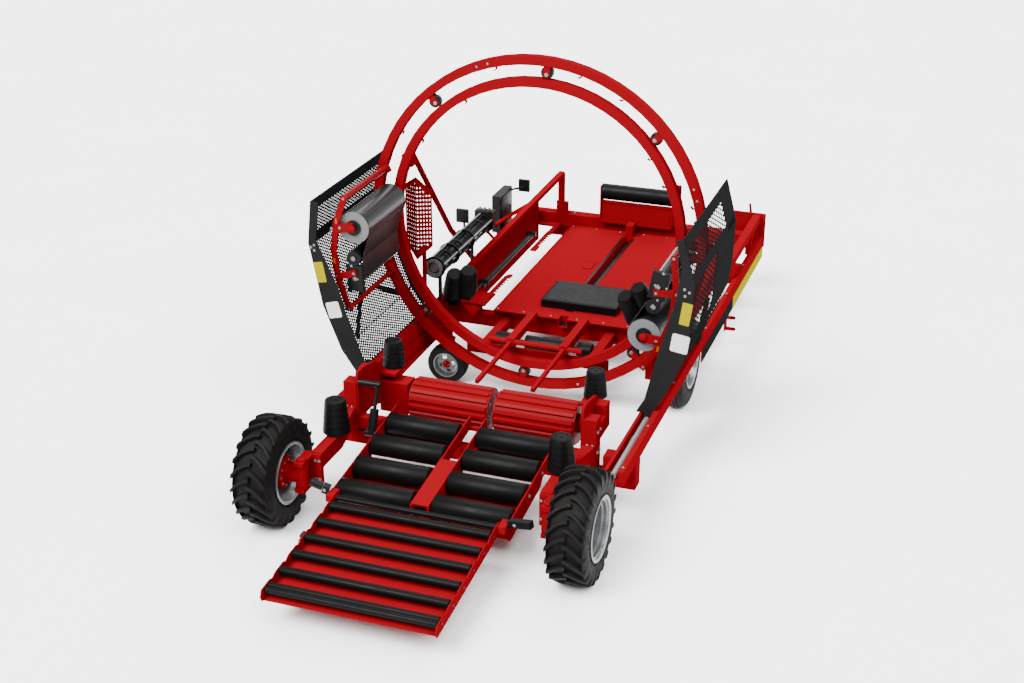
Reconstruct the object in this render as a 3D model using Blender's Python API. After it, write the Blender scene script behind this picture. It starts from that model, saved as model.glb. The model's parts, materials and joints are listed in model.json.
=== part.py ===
"""In-line bale wrapper, towed: chassis, film hoop, roller platform, tail ramp, pusher and wheels.

Metres, Z up. X is the machine's right, Y its way of travel, the ground is z = 0 and the hoop
turns round the Y axis near y = 0.
"""
import math

import bmesh
import bpy
from mathutils import Matrix, Vector

# Fits and plates.
GAP = 0.0003                    # what two resting pieces keep between them
PLATE = 0.008                   # usual plate thickness

# Hoop.
HOOP_Z = 1.499                  # height of the hoop's axis
RING_R = 1.162                  # fixed ring, middle of its section
RING_T = 0.070                  # both rings, radial thickness
RING_W = 0.070                  # both rings, along Y
CASTERS = 8
CASTER_START = -4.0             # degrees, first caster from +X
CASTER_WHEEL_R = 0.036
CASTER_ROOM = 0.026             # between a caster wheel and the turning ring's inner face
ROTOR_R = RING_R + RING_T + 2 * CASTER_WHEEL_R + CASTER_ROOM
SWEEP_R = ROTOR_R + 0.055       # nothing on the rotor reaches past this radius
SWEEP_BACK = -0.865             # nor behind this plane
STRETCHERS = (("left", 183.0), ("right", -10.0))    # name, degrees of its middle from +X
FILM_R = 0.128
STRETCH_ROLL_R = 0.058

# Left rail and right beam, just outside the hoop's sweep.
RAIL_Z0 = 0.300
RAIL_Z1 = 0.420
RAIL_TOP = 0.540
RAIL_IN = -(math.sqrt(SWEEP_R ** 2 - (HOOP_Z - RAIL_Z1) ** 2) + 0.0847)     # lower flange's edge
RAIL_WEB = RAIL_IN - 0.043
RAIL_OUT = RAIL_IN - 0.122
BEAM_Z0 = 0.460
BEAM_Z1 = 0.570
BEAM_OUT = math.sqrt(SWEEP_R ** 2 - (HOOP_Z - BEAM_Z1) ** 2) + 0.2478
BEAM_IN = BEAM_OUT - 0.040
TROUGH_IN = BEAM_OUT - 0.150
BEAM_Y0 = -1.912
INNER_RAIL = (BEAM_OUT - 0.375, BEAM_OUT - 0.275)   # right inner rail, x
INNER_Y0 = 0.075

PANEL_Y0 = 0.450                # rear end of the right beam's deeper front panel
TUBE_Z = 0.725                  # upper tube over the right beam's front end
TUBE_Y0 = 1.750

# Posts, arms and wheels.
POST_X = -RAIL_WEB - 0.061
POST_Y = -1.477
POST_T = 0.105
POST_TOP = 0.718
POST_LOW = POST_X - 0.070       # inner face of a post
REAR_Y = -2.379
TYRE_R = 0.3935
TYRE_W = 0.280
TRACK = 2 * (POST_X + 0.0475 + TYRE_W / 2)
KINGPIN = 0.2225                # from the wheel's middle in to its kingpin
RIM_R = 0.212
LUGS = 19
AXLE_R = 0.030
FRONT_R = 0.360
FRONT_W = 0.200
FRONT_RIM = 0.195
FRONT_WHEEL = (BEAM_OUT - 0.155, FRONT_R + 0.010)   # x, y of the right front wheel
CASTOR = (RAIL_IN + 0.153, 0.120)                   # x, y of the small left wheel and its swivel
CASTOR_R = 0.170
CASTOR_W = 0.140
CASTOR_RIM = 0.104

# Deck and front.
DECK_BACK = 0.560
DECK_FRONT = 2.760
DECK_Z = 0.500
DECK_X = (-0.560, 0.640)
MIDDLE = 0.055                  # x of the bale's middle line, where the slot is
SLOT = (MIDDLE - 0.035, MIDDLE + 0.035)
REAR_CROSS = (-1.540, -1.420)   # y
CROSS_TOP = RAIL_Z0 + 0.020     # top of the rear cross beam, under the platform
MID_CROSS = (DECK_BACK + 0.080, DECK_BACK + 0.180)
FRONT_CROSS = (DECK_FRONT + 0.020, DECK_FRONT + 0.140)
FRONT_Z = (0.480, 0.600)
BEAM_Y1 = FRONT_CROSS[1] + 0.065
EYE_Y = FRONT_CROSS[1] + 0.710  # drawbar eye, middle
EYE_Z = 0.400
PUSH_Y = DECK_FRONT - 0.005     # pusher plate's front face
PUSH_HALF = 0.345
PUSH_ROLL_R = 0.075
PAD_Y = (0.760, 1.210)

# Drums, platform and ramp.
DRUM_Y = -1.062
DRUM_Z = 0.430
DRUM_R = 0.165
DRUM_LENGTH = 0.630
DRUM_SPACE = 0.045              # between the two drums
DRUM_RIBS = 16
PLAT_Y = (-2.440, -1.300)       # roller platform, rear and front
PLAT_Z = (0.305, 0.430)         # height of the roller axes at rear and front
PLAT_HALF = 0.640
PLAT_MID = 0.067                # half the strip between the two roller fields
PLAT_ROLL_R = 0.080
PLAT_ROLLS = 4
RAMP_HINGE = (PLAT_Y[0] - 0.067, PLAT_Z[0] + 0.038) # y, z
RAMP_END = (RAMP_HINGE[0] - 1.080, RAMP_HINGE[1] - 0.098)
RAMP_HALF = PLAT_HALF - 0.046
RAMP_ROLL_R = 0.029
RAMP_ROLLS = 6

# Guards beside the hoop.
GUARD_Y = (-0.960, 0.446)
GUARD_T = 0.014

# Guide cones: bottom and top radius.
CONE_R = (0.088, 0.070)

RED = (0.72, 0.018, 0.015, 1)
BLACK = (0.018, 0.018, 0.020, 1)
RUBBER = (0.022, 0.022, 0.023, 1)
SILVER = (0.62, 0.63, 0.65, 1)
STEEL = (0.45, 0.46, 0.48, 1)
WHITE = (0.82, 0.82, 0.80, 1)
FILM = (0.16, 0.17, 0.18, 1)


# Start from an empty scene.
for old in list(bpy.data.objects):
    bpy.data.objects.remove(old, do_unlink=True)


def material(name, colour, metallic=0.0, rough=0.5):
    found = bpy.data.materials.get(name)
    if found:
        return found
    made = bpy.data.materials.new(name)
    made.use_nodes = True
    shader = made.node_tree.nodes["Principled BSDF"]
    shader.inputs["Base Color"].default_value = colour
    shader.inputs["Metallic"].default_value = metallic
    shader.inputs["Roughness"].default_value = rough
    made.diffuse_color = colour
    return made


AXES = {
    "x": Matrix(((0, 0, 1), (1, 0, 0), (0, 1, 0))),
    "y": Matrix(((0, 1, 0), (0, 0, 1), (1, 0, 0))),
    "z": Matrix(((1, 0, 0), (0, 1, 0), (0, 0, 1))),
}


def turned(bm, first, angle, axis, about):
    """Turn the vertices made since index first."""
    bm.verts.ensure_lookup_table()
    spin = Matrix.Rotation(math.radians(angle), 3, axis)
    for vert in bm.verts[first:]:
        vert.co = spin @ (vert.co - Vector(about)) + Vector(about)


def box(bm, x, y, z):
    """A box from three (low, high) pairs."""
    corners = [bm.verts.new((x[i], y[j], z[k])) for i in (0, 1) for j in (0, 1) for k in (0, 1)]
    for loop in ((0, 1, 3, 2), (4, 6, 7, 5), (0, 4, 5, 1), (2, 3, 7, 6), (0, 2, 6, 4), (1, 5, 7, 3)):
        bm.faces.new([corners[i] for i in loop])
    return bm


def prism(bm, outline, axis, low, high):
    """Extrude a closed outline along an axis; the outline's two numbers are the other axes in order."""
    places = {
        "x": lambda a, b, c: (c, a, b),
        "y": lambda a, b, c: (a, c, b),
        "z": lambda a, b, c: (a, b, c),
    }
    place = places[axis]
    near = [bm.verts.new(place(a, b, low)) for a, b in outline]
    far = [bm.verts.new(place(a, b, high)) for a, b in outline]
    bm.faces.new(near)
    bm.faces.new(list(reversed(far)))
    count = len(outline)
    for i in range(count):
        j = (i + 1) % count
        bm.faces.new((near[j], near[i], far[i], far[j]))
    return bm


def lathe(bm, profile, axis, centre, steps, closed=True):
    """Turn a closed profile of (radius, along) points round an axis through centre."""
    turn = AXES[axis]
    rows = []
    for k in range(steps):
        angle = 2 * math.pi * k / steps
        row = []
        for radius, along in profile:
            point = turn @ Vector((radius * math.cos(angle), radius * math.sin(angle), along))
            row.append(bm.verts.new(point + Vector(centre)))
        rows.append(row)
    count = len(profile)
    for k in range(steps):
        here = rows[k]
        there = rows[(k + 1) % steps]
        for i in range(count if closed else count - 1):
            j = (i + 1) % count
            bm.faces.new((here[i], here[j], there[j], there[i]))
    return rows


def rod(bm, start, end, r0, r1=None, steps=16):
    """A round bar between two points, or a cone frustum with a second radius."""
    r1 = r0 if r1 is None else r1
    start = Vector(start)
    end = Vector(end)
    way = (end - start).normalized()
    side = way.orthogonal().normalized()
    other = way.cross(side)
    rings = []
    for point, radius in ((start, r0), (end, r1)):
        ring = []
        for k in range(steps):
            angle = 2 * math.pi * (k + 0.5) / steps
            ring.append(bm.verts.new(point + radius * (math.cos(angle) * side + math.sin(angle) * other)))
        rings.append(ring)
    bm.faces.new(list(reversed(rings[0])))
    bm.faces.new(rings[1])
    for k in range(steps):
        j = (k + 1) % steps
        bm.faces.new((rings[0][k], rings[0][j], rings[1][j], rings[1][k]))


def bar(bm, start, end, width, depth, up=(0, 0, 1)):
    """A rectangular bar between two points: width across, depth along up."""
    start = Vector(start)
    end = Vector(end)
    way = (end - start).normalized()
    across = way.cross(Vector(up)).normalized() * (width / 2)
    rise = across.cross(way).normalized() * (depth / 2)
    loops = []
    for point in (start, end):
        corners = [point + s * across + t * rise for s, t in ((-1, -1), (1, -1), (1, 1), (-1, 1))]
        loops.append([bm.verts.new(corner) for corner in corners])
    bm.faces.new(loops[0])
    bm.faces.new(list(reversed(loops[1])))
    for k in range(4):
        j = (k + 1) % 4
        bm.faces.new((loops[0][j], loops[0][k], loops[1][k], loops[1][j]))


def tube_path(bm, points, radius, steps=12):
    """A round bar bent along points, with closed ends."""
    points = [Vector(p) for p in points]
    side = (points[1] - points[0]).orthogonal().normalized()
    rings = []
    for i, point in enumerate(points):
        before = (point - points[i - 1]).normalized() if i else (points[1] - point).normalized()
        after = (points[i + 1] - point).normalized() if i + 1 < len(points) else before
        way = (before + after).normalized()
        side = (side - way * side.dot(way)).normalized()
        other = way.cross(side)
        stretch = 1 / max(0.5, way.dot(before))
        ring = []
        for k in range(steps):
            angle = 2 * math.pi * k / steps
            arm = math.cos(angle) * side + math.sin(angle) * other
            ring.append(bm.verts.new(point + radius * stretch ** 0.5 * arm))
        rings.append(ring)
    bm.faces.new(list(reversed(rings[0])))
    bm.faces.new(rings[-1])
    for a, b in zip(rings, rings[1:]):
        for k in range(steps):
            j = (k + 1) % steps
            bm.faces.new((a[k], a[j], b[j], b[k]))


def polar(radius, degrees):
    """A point on the hoop's circle as x, z."""
    angle = math.radians(degrees)
    return radius * math.cos(angle), HOOP_Z + radius * math.sin(angle)


def finish(name, bm, mat, pivot=(0, 0, 0), parent=None, smooth=35):
    """Make the named object from the mesh, with its origin at pivot."""
    bmesh.ops.recalc_face_normals(bm, faces=bm.faces)
    mesh = bpy.data.meshes.new(name)
    for vert in bm.verts:
        vert.co -= Vector(pivot)
    bm.to_mesh(mesh)
    bm.free()
    mesh.materials.append(mat)
    made = bpy.data.objects.new(name, mesh)
    bpy.context.scene.collection.objects.link(made)
    made.location = pivot
    if parent:
        made.parent = parent
        made.matrix_parent_inverse = parent.matrix_basis.inverted()
    for face in mesh.polygons:
        face.use_smooth = True
    edges = bmesh.new()
    edges.from_mesh(mesh)
    for edge in edges.edges:
        edge.smooth = len(edge.link_faces) == 2 and edge.calc_face_angle(0) < math.radians(smooth)
    edges.to_mesh(mesh)
    edges.free()
    return made


def evaluated(source):
    """The object's mesh with its modifiers, slivers closed."""
    bpy.context.view_layer.update()
    mesh = bpy.data.meshes.new_from_object(source.evaluated_get(bpy.context.evaluated_depsgraph_get()))
    bm = bmesh.new()
    bm.from_mesh(mesh)
    bpy.data.meshes.remove(mesh)
    bmesh.ops.remove_doubles(bm, verts=bm.verts, dist=0.00001)
    bmesh.ops.dissolve_degenerate(bm, dist=0.00001, edges=bm.edges)
    return bm


def one_body(bm):
    """Whether the mesh is closed and all in one piece."""
    if any(len(edge.link_faces) != 2 for edge in bm.edges):
        return False
    bm.verts.ensure_lookup_table()
    seen = {bm.verts[0]}
    waiting = [bm.verts[0]]
    while waiting:
        for edge in waiting.pop().link_edges:
            for vert in edge.verts:
                if vert not in seen:
                    seen.add(vert)
                    waiting.append(vert)
    return len(seen) == len(bm.verts)


def fused(name, parts, mat, pivot=(0, 0, 0), parent=None, smooth=35):
    """Union a list of makers (each fills one closed solid) into one object."""
    solids = []
    for i, fill in enumerate(parts):
        bm = bmesh.new()
        fill(bm)
        bmesh.ops.recalc_face_normals(bm, faces=bm.faces)
        mesh = bpy.data.meshes.new(name + "_part")
        bm.to_mesh(mesh)
        bm.free()
        solid = bpy.data.objects.new(name + "_part", mesh)
        bpy.context.scene.collection.objects.link(solid)
        solids.append(solid)
    base = solids[0]
    for other in solids[1:]:
        step = base.modifiers.new("join", "BOOLEAN")
        step.operation = "UNION"
        step.solver = "EXACT"
        step.object = other
    bm = evaluated(base)
    if not one_body(bm):
        bm.free()
        for step in base.modifiers:
            step.solver = "MANIFOLD"
        bm = evaluated(base)
    for solid in solids:
        data = solid.data
        bpy.data.objects.remove(solid, do_unlink=True)
        bpy.data.meshes.remove(data)
    return finish(name, bm, mat, pivot, parent, smooth)


def empty(name, at, parent=None):
    made = bpy.data.objects.new(name, None)
    bpy.context.scene.collection.objects.link(made)
    made.empty_display_size = 0.2
    made.location = at
    if parent:
        made.parent = parent
        made.matrix_parent_inverse = parent.matrix_basis.inverted()
    return made


def of_box(x, y, z):
    return lambda bm: box(bm, x, y, z)


def of_bar(start, end, width, depth, up=(0, 0, 1)):
    return lambda bm: bar(bm, start, end, width, depth, up)


def of_rod(start, end, r0, r1=None, steps=16):
    return lambda bm: rod(bm, start, end, r0, r1, steps)


def of_prism(outline, axis, low, high):
    return lambda bm: prism(bm, outline, axis, low, high)


def of_lathe(profile, axis, centre, steps):
    return lambda bm: lathe(bm, profile, axis, centre, steps)


def of_tube(points, radius, steps=12):
    return lambda bm: tube_path(bm, points, radius, steps)


def single(name, fill, mat, pivot=(0, 0, 0), parent=None, smooth=35):
    """One object from one maker."""
    bm = bmesh.new()
    fill(bm)
    return finish(name, bm, mat, pivot, parent, smooth)


def across(side, near, far):
    """A (low, high) pair in x from two distances to the middle on one side."""
    return tuple(sorted((side * near, side * far)))


paint = material("red_paint", RED, 0.0, 0.35)
black = material("black_paint", BLACK, 0.0, 0.45)
rubber = material("rubber", RUBBER, 0.0, 0.8)
silver = material("silver_paint", SILVER, 0.6, 0.35)
steel = material("bright_steel", STEEL, 0.9, 0.3)
white = material("white_plastic", WHITE, 0.0, 0.4)
film = material("film_grey", FILM, 0.0, 0.3)

chassis = empty("chassis_frame", (0, 0, 0))

# Side rails, cross beams and drawbar.
fused("left_rail", [
    of_box((RAIL_OUT, RAIL_WEB), (REAR_CROSS[0] - 0.02, FRONT_CROSS[0] - GAP), (RAIL_Z0, RAIL_Z1)),
    of_box((RAIL_OUT + 0.001, RAIL_WEB - 0.017), (REAR_CROSS[0] - 0.019, FRONT_CROSS[0] - GAP - 0.001),
           (RAIL_Z1 - 0.01, RAIL_TOP)),
    of_box((RAIL_WEB - 0.01, RAIL_IN), (REAR_CROSS[1] + 0.02, FRONT_CROSS[0] - GAP - 0.002),
           (RAIL_Z0 + 0.001, RAIL_Z0 + 0.013)),
    of_box((RAIL_WEB - 0.011, INNER_RAIL[0] - GAP), MID_CROSS, (RAIL_Z0 + 0.005, RAIL_Z1 - 0.005)),
], paint, parent=chassis)

fused("right_beam", [
    of_box((BEAM_IN, BEAM_OUT), (BEAM_Y0, BEAM_Y1), (BEAM_Z0, BEAM_Z1)),
    of_box((TROUGH_IN, BEAM_IN + 0.01), (BEAM_Y0 + 0.002, -0.30), (BEAM_Z0 + 0.002, BEAM_Z0 + 0.022)),
    of_box((TROUGH_IN + 0.001, TROUGH_IN + 0.025), (BEAM_Y0 + 0.004, -0.302),
           (BEAM_Z0 + 0.012, BEAM_Z1 - 0.03)),
    of_box((BEAM_OUT - 0.010, BEAM_OUT - 0.001), (PANEL_Y0, BEAM_Y1 - 0.001),
           (BEAM_Z0 - 0.120, BEAM_Z0 + 0.01)),
    of_box((BEAM_OUT - 0.29, BEAM_OUT + 0.010), (FRONT_CROSS[1] + 0.035, BEAM_Y1 - 0.002),
           (BEAM_Z0 - 0.015, TUBE_Z + 0.045)),
    of_box((BEAM_OUT - 0.105, BEAM_OUT - 0.035), (TUBE_Y0, BEAM_Y1 - 0.010),
           (TUBE_Z - 0.035, TUBE_Z + 0.035)),
    of_box((BEAM_OUT - 0.085, BEAM_OUT - 0.030), (TUBE_Y0 + 0.001, TUBE_Y0 + 0.061),
           (BEAM_Z1 - 0.05, TUBE_Z - 0.01)),
    of_box((BEAM_OUT - 0.084, BEAM_OUT - 0.031), (2.50, 2.56), (BEAM_Z1 - 0.051, TUBE_Z - 0.011)),
    of_bar((BEAM_OUT - 0.130, BEAM_Y1 - 0.018, TUBE_Z + 0.03),
           (BEAM_OUT - 0.145, BEAM_Y1 - 0.018, TUBE_Z + 0.130),
           0.020, 0.022, (0, 1, 0)),
], paint, parent=chassis)

SIDE_ROD_R = 0.022
rod_z = BEAM_Z0 + 0.022 + SIDE_ROD_R + GAP
single("side_rod", of_rod((BEAM_OUT - 0.085, BEAM_Y0 + 0.05, rod_z),
                          (BEAM_OUT - 0.085, GUARD_Y[0] - 0.02, rod_z),
                          SIDE_ROD_R), steel, parent=chassis)

fused("rear_cross", [
    of_box((RAIL_WEB + GAP, TROUGH_IN - GAP), (REAR_CROSS[0] + 0.001, REAR_CROSS[1]),
           (RAIL_Z0 - 0.07, CROSS_TOP)),
    of_box((TROUGH_IN - 0.10, BEAM_OUT - 0.01), (REAR_CROSS[0], REAR_CROSS[1] - 0.001),
           (RAIL_Z0 - 0.071, BEAM_Z0 - GAP)),
], paint, parent=chassis)

fused("right_inner_rail", [
    of_box(INNER_RAIL, (INNER_Y0, FRONT_CROSS[0] - GAP), (RAIL_Z0 + 0.002, RAIL_Z1 + 0.06)),
    of_box((INNER_RAIL[1] - 0.01, BEAM_IN - GAP), (0.80, 0.88), (0.37, 0.475)),
    of_box((INNER_RAIL[1] - 0.011, BEAM_IN - GAP), (FRONT_CROSS[0] - 0.48, FRONT_CROSS[0] - 0.40),
           (0.37, 0.475)),
    of_rod((INNER_RAIL[0] + 0.02, FRONT_WHEEL[1], FRONT_R),
           (FRONT_WHEEL[0] + 0.02, FRONT_WHEEL[1], FRONT_R), AXLE_R),
    of_prism([(INNER_RAIL[0] - 0.19, 0.560), (INNER_RAIL[0] - 0.03, 0.820), (INNER_RAIL[0] + 0.045, 0.800),
              (INNER_RAIL[0] + 0.04, RAIL_Z1 + 0.03),
              (INNER_RAIL[0] + 0.01, RAIL_Z1 - 0.02), (INNER_RAIL[0] - 0.12, 0.480)], "y", 0.300, 0.325),
], paint, parent=chassis)

fused("front_beam", [
    of_box((RAIL_OUT + 0.002, BEAM_IN - GAP), FRONT_CROSS, FRONT_Z),
    of_box((RAIL_OUT + 0.003, RAIL_WEB + 0.02), (FRONT_CROSS[0] + 0.001, FRONT_CROSS[1] - 0.001),
           (RAIL_Z0, FRONT_Z[1] - 0.01)),
    of_box((-0.72, -0.60), (FRONT_CROSS[0] + 0.002, FRONT_CROSS[0] + 0.014),
           (FRONT_Z[1] - 0.01, FRONT_Z[1] + 0.13)),
], paint, parent=chassis)

fused("drawbar", [
    of_bar((-0.62, FRONT_CROSS[1] + 0.02, EYE_Z), (-0.03, EYE_Y - 0.20, EYE_Z), 0.10, 0.10),
    of_bar((0.62, FRONT_CROSS[1] + 0.02, EYE_Z), (0.03, EYE_Y - 0.20, EYE_Z), 0.10, 0.101),
    of_box((-0.80, 0.80), (FRONT_CROSS[1] + GAP, FRONT_CROSS[1] + 0.09), (EYE_Z - 0.07, 0.56)),
    of_box((-0.055, 0.055), (EYE_Y - 0.33, EYE_Y - 0.05), (EYE_Z - 0.052, EYE_Z + 0.052)),
    of_lathe([(0.025, -0.022), (0.068, -0.022), (0.068, 0.022), (0.025, 0.022)], "z", (0, EYE_Y, EYE_Z),
             24),
], paint, parent=chassis)

# Rear posts with their rounded front plates, drum bearings and cone brackets.
drum_ends = {
    -1: (MIDDLE - DRUM_SPACE / 2 - DRUM_LENGTH, MIDDLE - DRUM_SPACE / 2),
    1: (MIDDLE + DRUM_SPACE / 2, MIDDLE + DRUM_SPACE / 2 + DRUM_LENGTH),
}
DRUM_COLLAR = 0.030             # how far a drum's collar stands out of its outer end
SHELF_Z = 0.632                 # top of the shelf under a middle cone
for side, name in ((-1, "left"), (1, "right")):
    arch = [(POST_Y - 0.049, RAIL_Z0 + 0.06), (POST_Y + 0.060, RAIL_Z0 + 0.06), (POST_Y + 0.10, 0.44),
            (POST_Y + 0.34, 0.37), (POST_Y + 0.46, 0.39), (POST_Y + 0.49, 0.46), (POST_Y + 0.46, 0.56),
            (POST_Y + 0.38, 0.68), (POST_Y + 0.26, 0.76), (POST_Y + 0.06, 0.80),
            (POST_Y - 0.03, 0.80), (POST_Y - 0.049, 0.76)]
    face = POST_LOW - 0.012
    outer_end = max(abs(end) for end in drum_ends[side]) if side > 0 else abs(drum_ends[side][0])
    fused("post_" + name, [
        of_box(across(side, POST_LOW, POST_LOW + POST_T), (POST_Y - 0.055, POST_Y + 0.055),
               (CROSS_TOP + GAP, POST_TOP)),
        of_prism(arch, "x", *across(side, face, POST_LOW + 0.010)),
        of_box(across(side, POST_LOW + 0.005, POST_LOW + POST_T - 0.004), (POST_Y + 0.02, POST_Y + 0.30),
               (0.52, 0.64)),
        of_box(across(side, POST_LOW + 0.006, POST_LOW + POST_T - 0.005), (POST_Y + 0.20, POST_Y + 0.299),
               (0.52, 0.716)),
        of_box(across(side, outer_end + DRUM_COLLAR + GAP, face + 0.005), (DRUM_Y - 0.075, DRUM_Y + 0.075),
               (DRUM_Z - 0.12, DRUM_Z + 0.13)),
        of_box(across(side, face - 0.13, face + 0.006), (DRUM_Y - 0.074, DRUM_Y + 0.150),
               (SHELF_Z - 0.024, SHELF_Z)),
        of_box(across(side, PLAT_HALF + 0.012 + GAP, face + 0.004), (POST_Y - 0.048, POST_Y + 0.030),
               (PLAT_Z[1] - 0.085, PLAT_Z[1] + 0.010)),
    ], paint, parent=chassis)


CONE_STEPS = 16


def cone(bm, x, y, low, height, lean=(0.0, 0.0, 1.0)):
    """A rubber guide cone with a short foot, standing on z = low."""
    way = Vector(lean).normalized()
    foot = Vector((x, y, low))
    rings = []
    for along, radius in ((0.0, 0.8), (0.04, 1.0), (0.90, 0.80), (1.0, 0.66)):
        rings.append((foot + way * height * along, CONE_R[0] * radius))
    side = way.orthogonal().normalized()
    other = way.cross(side)
    loops = []
    for point, radius in rings:
        turns = [2 * math.pi * k / CONE_STEPS for k in range(CONE_STEPS)]
        loops.append([bm.verts.new(point + radius * (math.cos(t) * side + math.sin(t) * other)) for t in turns])
    bm.faces.new(list(reversed(loops[0])))
    bm.faces.new(loops[-1])
    for a, b in zip(loops, loops[1:]):
        for k in range(CONE_STEPS):
            j = (k + 1) % CONE_STEPS
            bm.faces.new((a[k], a[j], b[j], b[k]))


def of_cone(*args):
    return lambda bm: cone(bm, *args)


# Arms, steered knuckles and rear wheels.
def tyre_profile(radius, rim, width):
    half = width / 2
    return [(rim, -half * 0.80), (rim + 0.030, -half * 0.98), (rim + (radius - rim) * 0.55, -half),
            (radius - 0.035, -half * 0.93), (radius - 0.012, -half * 0.70), (radius, 0.0),
            (radius - 0.012, half * 0.70), (radius - 0.035, half * 0.93),
            (rim + (radius - rim) * 0.55, half), (rim + 0.030, half * 0.98), (rim, half * 0.80)]


def lug(bm, centre, base, top, width, angle, side):
    """One bent bar of the tread: from the middle out to one shoulder, leaning back."""
    half = width / 2
    rows = []
    for along, lean, thick in ((-0.10, 0.0, 0.030), (0.55, 9.0, 0.024), (0.93, 13.0, 0.024)):
        x = side * half * along
        drop = 0.0 if along < 0.9 else 0.035
        row = []
        for radius in (base - 0.014 - drop, top - drop):
            for shift in (-thick / radius / 2, thick / radius / 2):
                turn = math.radians(angle + lean) + shift
                row.append(bm.verts.new((centre[0] + x, centre[1] + radius * math.cos(turn),
                                         centre[2] + radius * math.sin(turn))))
        rows.append(row)
    order = (0, 1, 3, 2)
    bm.faces.new([rows[0][i] for i in order])
    bm.faces.new([rows[-1][i] for i in reversed(order)])
    for a, b in zip(rows, rows[1:]):
        for k in range(4):
            i = order[k]
            j = order[(k + 1) % 4]
            bm.faces.new((a[j], a[i], b[i], b[j]))


def lugged_tyre(name, centre, parent):
    base = TYRE_R - 0.026

    def all_lugs(shift, side):
        def fill(bm):
            for k in range(LUGS):
                lug(bm, centre, base, TYRE_R, TYRE_W, 360 * (k + shift) / LUGS, side)
        return fill
    parts = [of_lathe(tyre_profile(base, RIM_R + GAP, TYRE_W), "x", centre, 30), all_lugs(0.0, -1),
             all_lugs(0.5, 1)]
    return fused(name, parts, rubber, centre, parent, 30)


def wheel_rim(name, centre, rim, width, outward, parent, mat):
    """A dished disc in a flanged rim; outward is the side the dish opens to."""
    half = width / 2
    disc = outward * half * 0.05 - outward * 0.010
    edge = rim - 0.036
    outline = [(rim - 0.0003, -half * 0.82), (rim + 0.014, -half * 0.96), (rim + 0.006, -half * 1.05),
               (rim - 0.016, -half * 0.92), (edge, -half * 0.40), (edge, disc - 0.010),
               (AXLE_R + GAP, disc - 0.010 - outward * 0.030), (AXLE_R + GAP,
                                                                disc + 0.010 - outward * 0.030),
               (edge, disc + 0.010), (edge, half * 0.40), (rim - 0.016, half * 0.92), (rim + 0.006,
                                                                                       half * 1.05),
               (rim + 0.014, half * 0.96), (rim - 0.0003, half * 0.82)]
    return single(name, of_lathe(outline, "x", centre, 30), mat, centre, parent)


for side, name in ((-1, "left"), (1, "right")):
    x = side * TRACK / 2
    pin = TRACK / 2 - KINGPIN
    kingpin = (side * pin, REAR_Y, TYRE_R)
    inner = pin - 0.058
    fused("arm_" + name, [
        of_box(across(side, POST_LOW + 0.010, POST_LOW + 0.095), (POST_Y - 0.110, POST_Y - 0.055 - GAP),
               (0.401, 0.519)),
        of_bar((side * (POST_LOW + 0.0525), POST_Y - 0.085, 0.46), (side * inner, REAR_Y + 0.44, 0.46),
               0.084, 0.12),
        of_bar((side * inner, REAR_Y + 0.46, 0.46), (side * inner, REAR_Y + 0.12, 0.46), 0.083, 0.119),
        of_box(across(side, pin - 0.099, pin + 0.038), (REAR_Y + 0.10, REAR_Y + 0.14),
               (TYRE_R - 0.119, TYRE_R + 0.119)),
        of_box(across(side, pin - 0.038, pin + 0.037), (REAR_Y - 0.055, REAR_Y + 0.139),
               (TYRE_R + 0.085, TYRE_R + 0.118)),
        of_box(across(side, pin - 0.038, pin + 0.037), (REAR_Y - 0.055, REAR_Y + 0.139),
               (TYRE_R - 0.118, TYRE_R - 0.085)),
    ], paint, parent=chassis)
    steer = empty("steer_" + name, kingpin, chassis)
    fused("knuckle_" + name, [
        of_rod((kingpin[0], REAR_Y, TYRE_R - 0.0845), (kingpin[0], REAR_Y, TYRE_R + 0.0845), 0.048,
               steps=20),
        of_rod((kingpin[0], REAR_Y, TYRE_R), (side * (TRACK / 2 - 0.045), REAR_Y, TYRE_R), 0.055, 0.070,
               20),
        of_rod((side * (TRACK / 2 - 0.080), REAR_Y, TYRE_R), (side * (TRACK / 2 - 0.046), REAR_Y, TYRE_R),
               0.120,
               steps=24),
        of_rod((side * (TRACK / 2 - 0.060), REAR_Y, TYRE_R), (side * (TRACK / 2 + 0.050), REAR_Y, TYRE_R),
               AXLE_R),
    ], paint, kingpin, steer)
    hub = empty("spin_" + name, (x, REAR_Y, TYRE_R), steer)
    lugged_tyre("tyre_" + name, (x, REAR_Y, TYRE_R), hub)
    wheel_rim("rim_" + name, (x, REAR_Y, TYRE_R), RIM_R, TYRE_W, side, hub, silver)
    single("cone_mid_" + name, of_cone(side * (POST_LOW - 0.065), DRUM_Y + 0.075, SHELF_Z + GAP, 0.215),
           black,
           parent=chassis)
    single("cone_rear_" + name, of_cone(side * inner, REAR_Y + 0.45, 0.52 + GAP, 0.230), black,
           parent=chassis)

front_at = (FRONT_WHEEL[0], FRONT_WHEEL[1], FRONT_R)
front_hub = empty("spin_front", front_at, chassis)
single("tyre_front", of_lathe(tyre_profile(FRONT_R, FRONT_RIM + GAP, FRONT_W), "x", front_at, 30), rubber,
       front_at,
       front_hub)
wheel_rim("rim_front", front_at, FRONT_RIM, FRONT_W, 1, front_hub, silver)

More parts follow.
